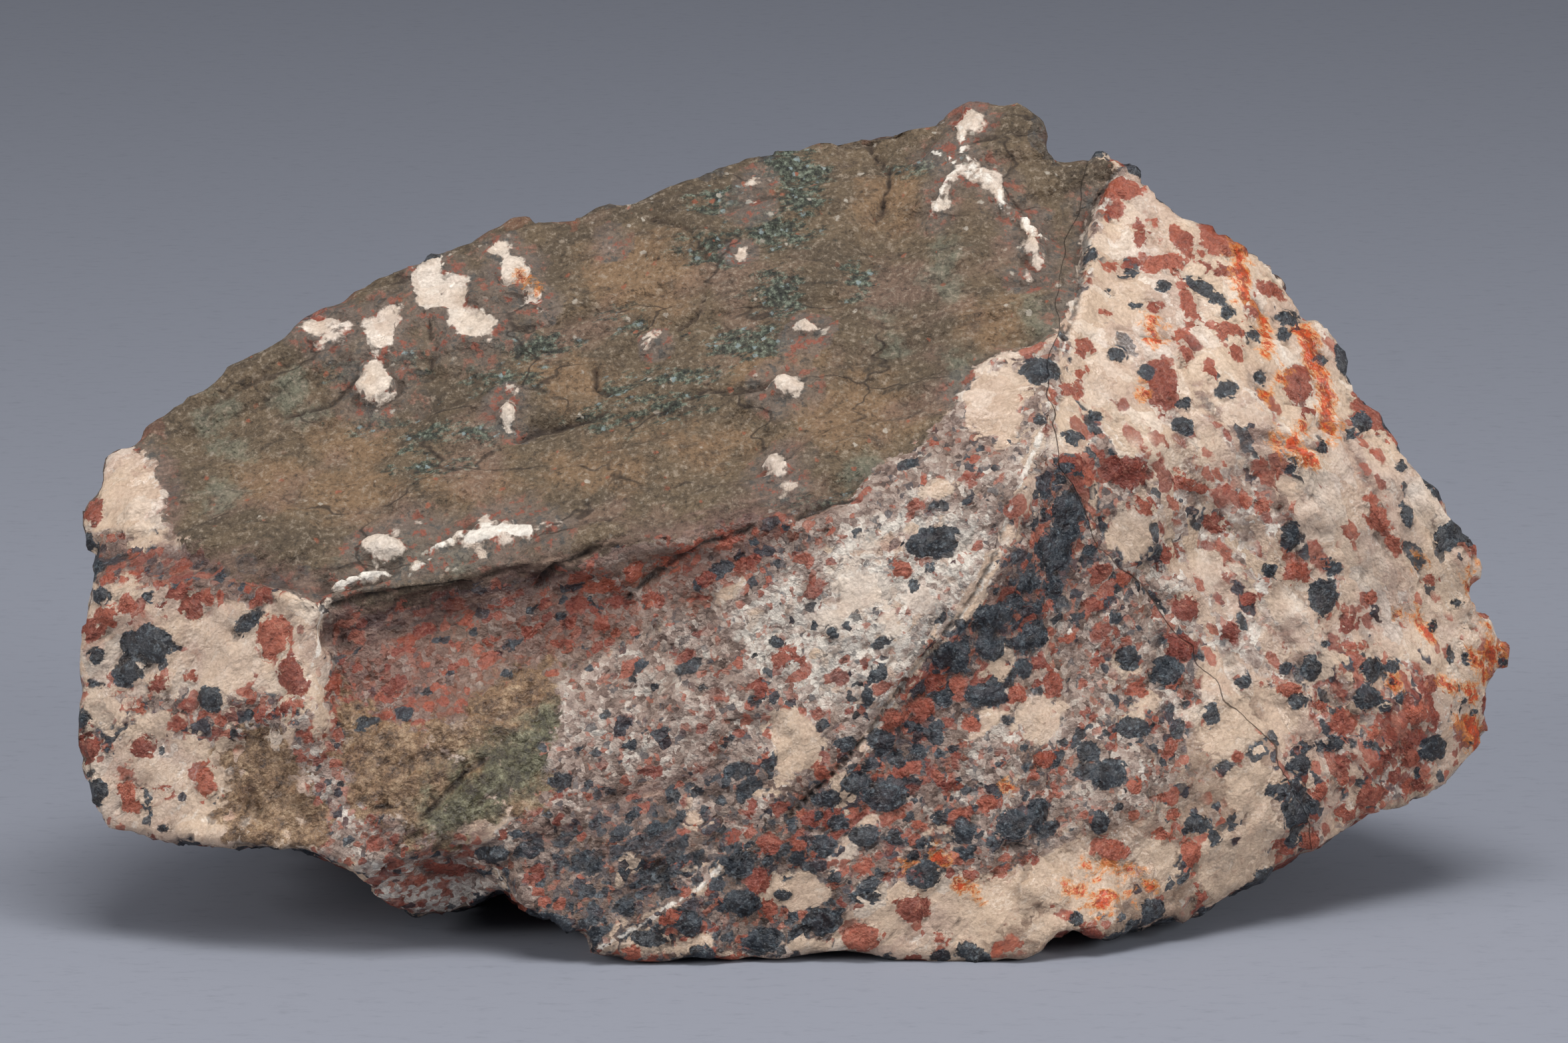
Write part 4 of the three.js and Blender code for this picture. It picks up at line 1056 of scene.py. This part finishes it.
def calcite_finish(nodes, place, fibred, cleavage, colours):
    """Cream calcite: rosy and white clouds, bright and dull cleavage pieces, partly their own tone and
    partly painted glint and shade of the facets, and fine dusky threads.
    """
    cloud = nodes.swell(place, "calcite cloud")
    colour = nodes.mix(nodes.step(cloud, -0.14, 0.16), colours.calcite, colours.calcite_pink)
    # Cleavage pieces, some whiter and some duller at random: partly their own tone, partly painted glint
    # and shade of the facets
    piece = nodes.channel(cleavage.output("Color"), "Blue")
    colour = nodes.tint(colour, piece, 0.62, 0.9, 0.3, colours.calcite_white)
    colour = nodes.tint(colour, piece, 0.3, 0.0, 0.25, TINTS["dull shaded piece"])
    # Dirt darkens the calcite; on the lower right this is partly painted shade
    dirt = nodes.layer("dirt")
    colour = nodes.tint(colour, dirt - cloud, 0.12, 0.6, 0.6, TINTS["dirty and shaded calcite"])
    thread = nodes.swell(fibred, "thread")
    colour = nodes.tint(colour, thread, 0.06, 0.22, 0.5, TINTS["dusky thread"])
    colour = nodes.tint(colour, thread, -0.06, -0.2, 0.5, colours.calcite_white)
    speck = nodes.swell(place, "calcite speck") + dirt * 0.12
    return nodes.tint(colour, speck, 0.17, 0.25, 0.55, TINTS["brown speck"])


def sugar_finish(nodes, place, sugar_cells):
    """The sugary matrix: tiny white, rosy, grey, red and dark grains, whiter in some parts."""
    chance = sugar_cells.output("Color")
    tone = nodes.channel(chance, "Red") * 0.6
    tone = tone + nodes.swell(place, "sugar fine") * 1.2 + nodes.swell(place, "sugar broad") * 0.8
    tone = tone + nodes.layer("white") * 0.66 - nodes.layer("small_dark") * 0.4
    colour = nodes.tones(tone, SUGAR_TONES)
    reddish = nodes.layer("small_red") * 0.9 + nodes.swell(place, "sugar red") * 0.7
    reddish = reddish - nodes.channel(chance, "Green")
    colour = nodes.tint(colour, reddish, -0.05, 0.05, 0.75, TINTS["sugar red"])
    dusky = nodes.layer("small_dark") * 0.7 + nodes.swell(place, "sugar dark") * 0.5
    dusky = dusky - nodes.channel(chance, "Blue")
    return nodes.tint(colour, dusky, -0.04, 0.04, 0.8, TINTS["sugar dark"])


def red_finish(nodes, streak, tone, colours):
    """A red-brown grain: each its own tone, with darker and pale streaks."""
    red = nodes.mix(tone, colours.red, colours.deep_red)
    red = nodes.tint(red, streak, 0.02, 0.24, 0.5, TINTS["pale red streak"])
    return nodes.tint(red, streak, -0.02, -0.2, 0.5, TINTS["dark red streak"])


def dark_finish(nodes, place, colours):
    """A blue-black grain with dull bluish glints."""
    blackness = nodes.step(nodes.swell(place, "grain black"), -0.06, 0.14)
    dark = nodes.mix(blackness, colours.dark, TINTS["grain black"])
    return nodes.tint(dark, nodes.swell(place, "grain glint"), 0.03, 0.18, 0.62, colours.glint)


def coat_ground(nodes, place, slanted, edge, colours):
    """The coat's brown ground with its tan, rosy, purple, green and dark parts."""
    cloud = nodes.swell(slanted, "coat cloud")
    colour = nodes.mix(nodes.step(cloud, -0.12, 0.14), colours.coat, TINTS["dull coat"])
    colour = nodes.tint(colour, nodes.layer("tan") + edge, -1.4, 1.2, 0.75, colours.coat_tan)
    colour = nodes.tint(colour, nodes.swell(place, "coat rose"), 0.03, 0.16, 0.45, TINTS["rosy coat"])
    colour = nodes.tint(colour, cloud, -0.06, -0.2, 0.4, TINTS["purple coat"])
    colour = nodes.tint(colour, nodes.layer("green") + edge, -0.6, 1.2, 0.6, colours.green)
    return nodes.tint(colour, nodes.swell(slanted, "coat shade"), 0.0, 0.2, 0.66, colours.coat_shade)


def coat_halo(nodes, place, edge, colour):
    """Greyish ground with red and grey spots round the calcite patches of the coat."""
    halo = nodes.step(nodes.layer("cream") + edge * 0.35, -2.6, -0.2)
    colour = nodes.mix(halo * 0.6, colour, TINTS["halo"])
    spots = nodes.swell(place, "halo spots")
    colour = nodes.mix(halo * nodes.step(spots, 0.05, 0.1) * 0.8, colour, TINTS["halo red"])
    return nodes.mix(halo * nodes.step(spots, -0.06, -0.12) * 0.75, colour, TINTS["halo grey"])


def coat_flecks(nodes, place, crystal, colour):
    """Pale, red and glinting flecks, one here and there."""
    flecks = nodes.cells(nodes.stir(place, 0.5, 0.6), FLECK_SIZE)
    chance = flecks.output("Color")
    spot = nodes.step(flecks + nodes.channel(chance, "Green") * 0.25, 0.56, 0.34)
    pale = nodes.channel(chance, "Red") + nodes.swell(place, "fleck crowd") * 0.25
    colour = nodes.mix(spot * nodes.step(pale, 0.97, 0.99) * 0.7, colour, TINTS["pale fleck"])
    red = nodes.step(nodes.channel(chance, "Blue"), 0.03, 0.02)
    colour = nodes.mix(spot * red * 0.8, colour, TINTS["red fleck"])
    glint = nodes.step(nodes.channel(chance, "Blue"), 0.72, 0.76) * crystal
    return nodes.mix(spot * glint * 0.85, colour, TINTS["glinting fleck"])


def coat_finish(nodes, place, colours):
    """The brown coat of the slip face: tan and green parts, dark crystals with painted glints, pale flecks
    and fine cracks.
    """
    slanted = nodes.drawn_out(place, COAT_SLANT, 0.45)
    edge = nodes.swell(place, "coat edge") * 9.0
    colour = coat_ground(nodes, place, slanted, edge, colours)
    grit = nodes.swell(place, "coat grit")
    colour = nodes.tint(colour, grit, 0.0, 0.2, 0.6, TINTS["pale grit"])
    colour = nodes.tint(colour, grit, -0.03, -0.2, 0.7, TINTS["dark grit"])
    clump = nodes.swell(slanted, "crystal clump")
    sooty = nodes.layer("sooty")
    crystal = nodes.step(sooty * 0.7 + clump * 7.0, -0.4, 0.2)
    crystal = crystal * nodes.step(sooty, -3.0, 0.0) + nodes.step(clump, 0.17, 0.22)
    # Crystal colour, its palest tone a painted glint
    colour = nodes.mix(crystal * 0.85, colour, nodes.tones(grit * 3.2 + 0.5, CRYSTAL_AND_GLINT_TONES))
    colour = coat_halo(nodes, place, edge, colour)
    colour = coat_flecks(nodes, place, crystal, colour)
    crazed = nodes.stir(nodes.drawn_out(place, 12, 0.55), 2.5, 3.5)
    crazing = nodes.step(nodes.cells(crazed, CRAZING_SIZE, "DISTANCE_TO_EDGE"), 0.022, 0.004)
    crazing = crazing * nodes.step(nodes.swell(place, "crazing gaps"), -0.02, 0.1)
    return nodes.mix(crazing * 0.75, colour, TINTS["fine crack"])


def earth_finish(nodes, place, ragged):
    """The rough earthy parts: tan-brown grit, mossy dark green beside it."""
    grit = nodes.swell(nodes.drawn_out(place, 25, 0.8), "earth grit")
    earth = nodes.tones(grit * 2.8 + 0.5, EARTH_TONES)
    moss = nodes.tones(grit * 3.0 + 0.5, MOSS_TONES)
    spread = nodes.layer("moss") + ragged * 2.5 + nodes.swell(place, "moss edge") * 7.0
    return nodes.mix(nodes.step(spread, -0.8, 2.4) * 0.85, earth, moss)


def grain_layer(nodes, cells, ragged, radius):
    """Small rounded grains, one to a cell: where they are red, and where they are dark."""
    body = nodes.step(cells + ragged * 0.14, radius + 0.05, radius - 0.05)
    chance = cells.output("Color")
    red = body * nodes.step(nodes.layer("small_red") - nodes.channel(chance, "Red"), -0.02, 0.02)
    dark = body * nodes.step(nodes.layer("small_dark") - nodes.channel(chance, "Green"), -0.02, 0.02)
    return red, dark


def rust_finish(nodes, place, colours):
    """An orange-red stain with darker and brighter parts."""
    fine = nodes.step(nodes.swell(place, "rust fine"), -0.1, 0.12)
    rust = nodes.mix(fine, colours.rust, TINTS["dark rust"])
    return nodes.mix(nodes.step(nodes.swell(place, "rust bright"), 0.06, 0.24), rust, TINTS["bright rust"])


class OreFinish:
    """The whole stone's material, layer on layer."""

    def __init__(self, colours):
        self.colours = colours
        self.nodes = nodes = Nodes("broken_ore")
        self.place = place = nodes.place()
        self.bent = bent = nodes.stir(place, 0.9, 1.1)
        self.fibred = nodes.along_fabric(bent, 0.4)
        self.cleavage_place = nodes.along_fabric(bent, 0.6)
        self.cleavage = nodes.cells(self.cleavage_place, CLEAVAGE_SIZE)
        self.sugar_cells = nodes.cells(bent, SUGAR_SIZE)
        self.small = nodes.cells(nodes.along_fabric(bent, 0.8), SMALL_GRAIN_SIZE)
        self.middling = nodes.cells(nodes.along_fabric(bent, 0.62), MIDDLING_GRAIN_SIZE)
        self.jagged = nodes.channel(self.small.output("Color"), "Blue") - 0.5
        ragged = nodes.swell(place, "ragged") * 1.5 + nodes.swell(place, "finely ragged") * 0.5
        self.ragged = ragged + self.jagged * 0.3
        self.tattered = self.ragged + nodes.swell(place, "tattered") * 3.6
        self.streak = nodes.swell(self.fibred, "grain streak")
        self.calcite = calcite_finish(nodes, place, self.fibred, self.cleavage, colours)
        self.dark_grain = dark_finish(nodes, place, colours)

    def ground(self):
        """Calcite and sugary matrix with dirt, dusky bands and small grains; the dirt on the lower right
        and the dusky band under the ledge are partly painted shade.
        """
        nodes, place = self.nodes, self.place
        self.loose = self.jagged * 0.5 + nodes.swell(place, "loose edge") * 0.9
        is_sugar = nodes.step(nodes.layer("sugar") + self.loose, 0.42, 0.58)
        colour = nodes.mix(is_sugar, self.calcite, sugar_finish(nodes, place, self.sugar_cells))
        # Dirt and brown soil; on the lower right partly painted shade
        dirt = nodes.layer("dirt") + nodes.swell(place, "dirt") * 1.6
        soil_and_shade = nodes.mix(nodes.step(nodes.layer("small_red"), 0.15, 0.35), TINTS["soil_and_shade"], TINTS["red soil and shade"])
        colour = nodes.tint(colour, dirt, 0.25, 0.95, 0.7, soil_and_shade)
        # Dusky bands: a dark layer of the rock, and painted shade along the ledge's underside
        streaks = nodes.swell(nodes.drawn_out(place, 14, 0.25), "dusk streaks")
        self.is_dusk_and_shade = nodes.step(nodes.layer("dusk") + streaks * 6.0, -0.8, 0.9)
        self.dusk = nodes.tones(streaks * 2.6 + 0.5, DUSK_AND_SHADE_TONES)
        colour = nodes.mix(self.is_dusk_and_shade * 0.9, colour, self.dusk)
        self.is_small_dark = 0.0
        for cells, radius in ((self.small, 0.52), (self.middling, 0.5)):
            red, dark = grain_layer(nodes, cells, self.ragged, radius)
            own_tone = nodes.channel(cells.output("Color"), "Blue")
            colour = nodes.mix(red * 0.85, colour, red_finish(nodes, self.streak, own_tone, self.colours))
            colour = nodes.mix(dark * 0.92, colour, self.dark_grain)
            self.is_small_dark = dark + self.is_small_dark
        return colour

    def covers(self, colour):
        """Earth, coat, the dusky bands' painted shade once more over them, calcite patches and veins over
        the ground.
        """
        nodes, place, colours = self.nodes, self.place, self.colours
        is_earth = nodes.step(nodes.layer("earth") + self.tattered * 1.5 + self.loose * 2.5, -0.4, 0.4)
        gaps = nodes.swell(place, "earth gaps") + self.jagged * 0.1
        is_earth = is_earth * nodes.step(gaps, -0.24, -0.12)
        colour = nodes.mix(is_earth * 0.95, colour, earth_finish(nodes, place, self.ragged))
        is_coat = nodes.step(nodes.layer("coat") + self.ragged + self.jagged * 0.6, -0.05, 0.2)
        colour = nodes.mix(is_coat, colour, coat_finish(nodes, place, colours))
        # Painted shade of the ledge, laid once more over the earth and the coat
        colour = nodes.mix(self.is_dusk_and_shade * (is_coat * 0.2 + 0.3), colour, self.dusk)

        freshness = nodes.layer("white") + is_coat * 0.5 + nodes.swell(place, "freshness")
        fresh = nodes.mix(nodes.step(freshness, 0.5, 1.1) * 0.9, colours.calcite, colours.calcite_white)
        fresh = nodes.mix(0.5, fresh, self.calcite)
        worn = nodes.blend_values(is_coat, self.tattered * 0.75 + self.jagged * 0.9, self.tattered)
        self.is_cream = nodes.step(nodes.layer("cream") + worn, -0.12, 0.22)
        colour = nodes.mix(self.is_cream * 0.95, colour, fresh)
        self.on_coat = is_coat * (1 - self.is_cream)
        vein = nodes.layer("vein") + self.ragged * 0.5
        return nodes.tint(colour, vein, -0.05, 0.12, 0.85, colours.calcite_white)

    def grains(self, colour):
        """The large red and dark grains."""
        nodes = self.nodes
        is_red = nodes.step(nodes.layer("red") + self.ragged * 0.9 + self.jagged * 0.3, -0.06, 0.08)
        red_grain = red_finish(nodes, self.streak, nodes.layer("red_tone"), self.colours)
        colour = nodes.mix(is_red * (1 - self.on_coat * 0.8) * 0.95, colour, red_grain)
        is_dark = nodes.step(nodes.layer("dark") + self.ragged * 0.55 + self.jagged * 0.2, -0.05, 0.06)
        self.is_dark = is_dark * (1 - self.on_coat * 0.6)
        return nodes.mix(self.is_dark * 0.96, colour, self.dark_grain)

    def marks(self, colour):
        """Rust stains, fine speckle, painted shade in the hollows, and cracks on top of all."""
        nodes, place = self.nodes, self.place
        stain = nodes.layer("rust") + nodes.swell(self.fibred, "stain") * 5.5
        is_ochre = nodes.step(stain, -0.5, 0.2) * 0.75 * (1 - self.is_dark)
        colour = nodes.mix(is_ochre, colour, self.colours.ochre)
        is_rust = nodes.step(stain, 0.0, 0.4) * (1 - self.is_dark * 0.7)
        colour = nodes.mix(is_rust * 0.88, colour, rust_finish(nodes, place, self.colours))
        speckle = nodes.step(nodes.swell(place, "speckle"), -0.2, 0.2)
        speckle = nodes.mix(speckle, TINTS["dull speckle"], TINTS["clear speckle"])
        colour = nodes.mix(1.0, colour, speckle, "MULTIPLY")
        # Painted shade: darkens where the surface sinks below its neighbours, less on cream patches
        hollow = nodes.step(nodes.layer("hollow"), 0.02, 0.3) * (0.6 - self.is_cream * 0.25)
        colour = nodes.mix(hollow, colour, TINTS["hollow"])
        crack = nodes.layer("crack") + self.ragged * 0.3
        return nodes.tint(colour, crack, -0.15, 0.12, 0.75, TINTS["crack"])

    def height(self):
        """The finest relief in mm: cleavage breaks, sugary bits, roughness, and ridges along the fabric."""
        nodes = self.nodes
        coat = nodes.step(nodes.layer("coat"), -0.3, 0.3)
        smooth = nodes.step(nodes.layer("cream"), -0.3, 0.3)
        earth = nodes.step(nodes.layer("earth"), -0.8, 0.4)
        rough = nodes.step(nodes.layer("sugar"), 0.3, 0.7) + coat + earth
        grains = nodes.step(nodes.layer("dark"), -0.3, 0.2) + nodes.step(nodes.layer("red"), -0.3, 0.2)
        coarse = nodes.step(rough * (1 - smooth) + grains, 0.2, 1.0)
        off_coat = 1 - coat * (1 - smooth)
        height = nodes.tilted(self.cleavage_place, self.cleavage, 0.26) * (off_coat * 0.8 + 0.2)
        height = height + nodes.tilted(self.bent, self.sugar_cells, 0.5) * (coarse * 0.75 + 0.05)
        height = height + nodes.swell(self.place, "roughness") * (coarse * 0.28 + 0.03)
        return height + nodes.swell(self.fibred, "thread") * THREAD_HEIGHT * off_coat

    def material(self):
        nodes = self.nodes
        colour = self.marks(self.grains(self.covers(self.ground())))
        sheen = nodes.channel(self.cleavage.output("Color"), "Red") * 0.3 + 0.25
        roughness = nodes.blend_values(self.on_coat, sheen, COAT_ROUGHNESS)
        roughness = nodes.blend_values(self.is_dark * (1 - self.on_coat), roughness, DARK_GRAIN_ROUGHNESS)
        bump = nodes.add("ShaderNodeBump", {}, {"Strength": 1.0, "Distance": MM, "Height": self.height()})
        shader = nodes.add("ShaderNodeBsdfPrincipled", {}, {
            "Base Color": colour, "Roughness": roughness, "Normal": bump, "Specular IOR Level": 0.4,
            "Metallic": (self.is_dark + self.is_small_dark * (1 - self.on_coat)) * GRAIN_METALLIC,
        })
        nodes.add("ShaderNodeOutputMaterial", {}, {"Surface": shader})
        return nodes.material


def plain_values(colours):
    """The colours of a group as tuples, by their names."""
    return SimpleNamespace(**{name: tuple(getattr(colours, name)) for name in colours.__annotations__})


class ORE_OT_stone(bpy.types.Operator):
    """Make the broken surface of the stone, with its coat, grains and veins"""

    bl_idname = "ore.make_stone"
    bl_label = "Make stone"

    def execute(self, context):
        shape = context.scene.ore_shape
        stone = fine_copy(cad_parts[STONE], shape.cell)
        rock = Rock(stone)
        layers = read_minerals(rock, shape)
        # How far each point sinks below its neighbours, kept for the painted shade in hollows
        layers["hollow"] = shape_surface(stone, rock, relief(rock, layers, shape))
        for name, values in layers.items():
            store_layer(stone.data, name, values)
        stone.data.polygons.foreach_set("use_smooth", np.ones(len(stone.data.polygons), bool))
        stone.data.materials.append(OreFinish(plain_values(context.scene.ore_colours)).material())
        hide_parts(STONE)
        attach(stone, "root")
        return {"FINISHED"}


def make_floor(colour):
    """A wide pale floor."""
    corners = [(x * FLOOR_HALF, y * FLOOR_HALF, 0) for x, y in ((-1, -1), (1, -1), (1, 1), (-1, 1))]
    mesh = bpy.data.meshes.new("floor")
    mesh.from_pydata(corners, [], [(0, 1, 2, 3)])
    floor = bpy.data.objects.new("floor", mesh)
    bpy.context.collection.objects.link(floor)
    nodes = Nodes("paper_floor")
    place = nodes.place()
    fibre = nodes.swell(nodes.drawn_out(place, 0, 0.4), "floor fibre")
    tone = nodes.mix(nodes.step(fibre, 0.0, 0.35), tuple(colour), tuple(0.8 * part for part in colour))
    shader = nodes.add("ShaderNodeBsdfPrincipled", {}, {"Base Color": tone, "Roughness": 0.9})
    nodes.add("ShaderNodeOutputMaterial", {}, {"Surface": shader})
    mesh.materials.append(nodes.material)


def add_softbox(name, place, size, power, aim):
    light = bpy.data.lights.new(name, "AREA")
    light.shape = "RECTANGLE"
    light.size, light.size_y = size
    light.energy = power
    holder = bpy.data.objects.new(name, light)
    holder.location = place
    holder.rotation_euler = (Vector(aim) - Vector(place)).to_track_quat("-Z", "Y").to_euler()
    bpy.context.collection.objects.link(holder)


def add_camera():
    """The camera at the picture's own angle and distance."""
    data = bpy.data.cameras.new("camera")
    data.sensor_width = SENSOR_WIDTH
    data.lens = SENSOR_WIDTH * VIEW_DISTANCE / (PICTURE_PX[0] * PIXEL)
    camera = bpy.data.objects.new("camera", data)
    turn = Matrix([RIGHT, UP, -AWAY]).transposed().to_4x4()
    camera.matrix_world = Matrix.Translation(Vector(EYE * MM)) @ turn
    bpy.context.collection.objects.link(camera)
    bpy.context.scene.camera = camera


class ORE_OT_stage(bpy.types.Operator):
    """Set up the pale floor, the soft lights and the camera"""

    bl_idname = "ore.make_stage"
    bl_label = "Make stage"

    def execute(self, context):
        stage = context.scene.ore_stage
        make_floor(stage.floor)
        middle = tuple(PIVOT * MM)
        for name, (place, size) in SOFTBOXES.items():
            power = stage.overhead if name == "overhead_softbox" else stage.sides
            add_softbox(name, place, size, power, middle)
        world = bpy.data.worlds.new("studio")
        world.use_nodes = True
        background = world.node_tree.nodes["Background"]
        background.inputs["Color"].default_value = opaque(TINTS["room light"])
        background.inputs["Strength"].default_value = stage.ambient
        context.scene.world = world
        context.scene.view_settings.view_transform = "Standard"
        add_camera()
        return {"FINISHED"}


class ORE_PT_panel(bpy.types.Panel):
    """Lists what can be made"""

    bl_label = "Ore Stone"
    bl_idname = "ORE_PT_panel"
    bl_space_type = "VIEW_3D"
    bl_region_type = "UI"
    bl_category = "Ore Stone"

    def draw(self, context):
        for group in (context.scene.ore_shape, context.scene.ore_colours, context.scene.ore_stage):
            box = self.layout.box()
            for name in group.__annotations__:
                box.prop(group, name)
        self.layout.operator(ORE_OT_stone.bl_idname)
        self.layout.operator(ORE_OT_stage.bl_idname)


CLASSES = (OreShape, OreColours, OreStage, ORE_OT_stone, ORE_OT_stage, ORE_PT_panel)


def register():
    for cls in CLASSES:
        bpy.utils.register_class(cls)
    bpy.types.Scene.ore_shape = bpy.props.PointerProperty(type=OreShape)
    bpy.types.Scene.ore_colours = bpy.props.PointerProperty(type=OreColours)
    bpy.types.Scene.ore_stage = bpy.props.PointerProperty(type=OreStage)


def unregister():
    del bpy.types.Scene.ore_stage
    del bpy.types.Scene.ore_colours
    del bpy.types.Scene.ore_shape
    for cls in reversed(CLASSES):
        bpy.utils.unregister_class(cls)


def main():
    register()
    bpy.ops.ore.make_stone()
    bpy.ops.ore.make_stage()


if __name__ == "__main__":
    main()
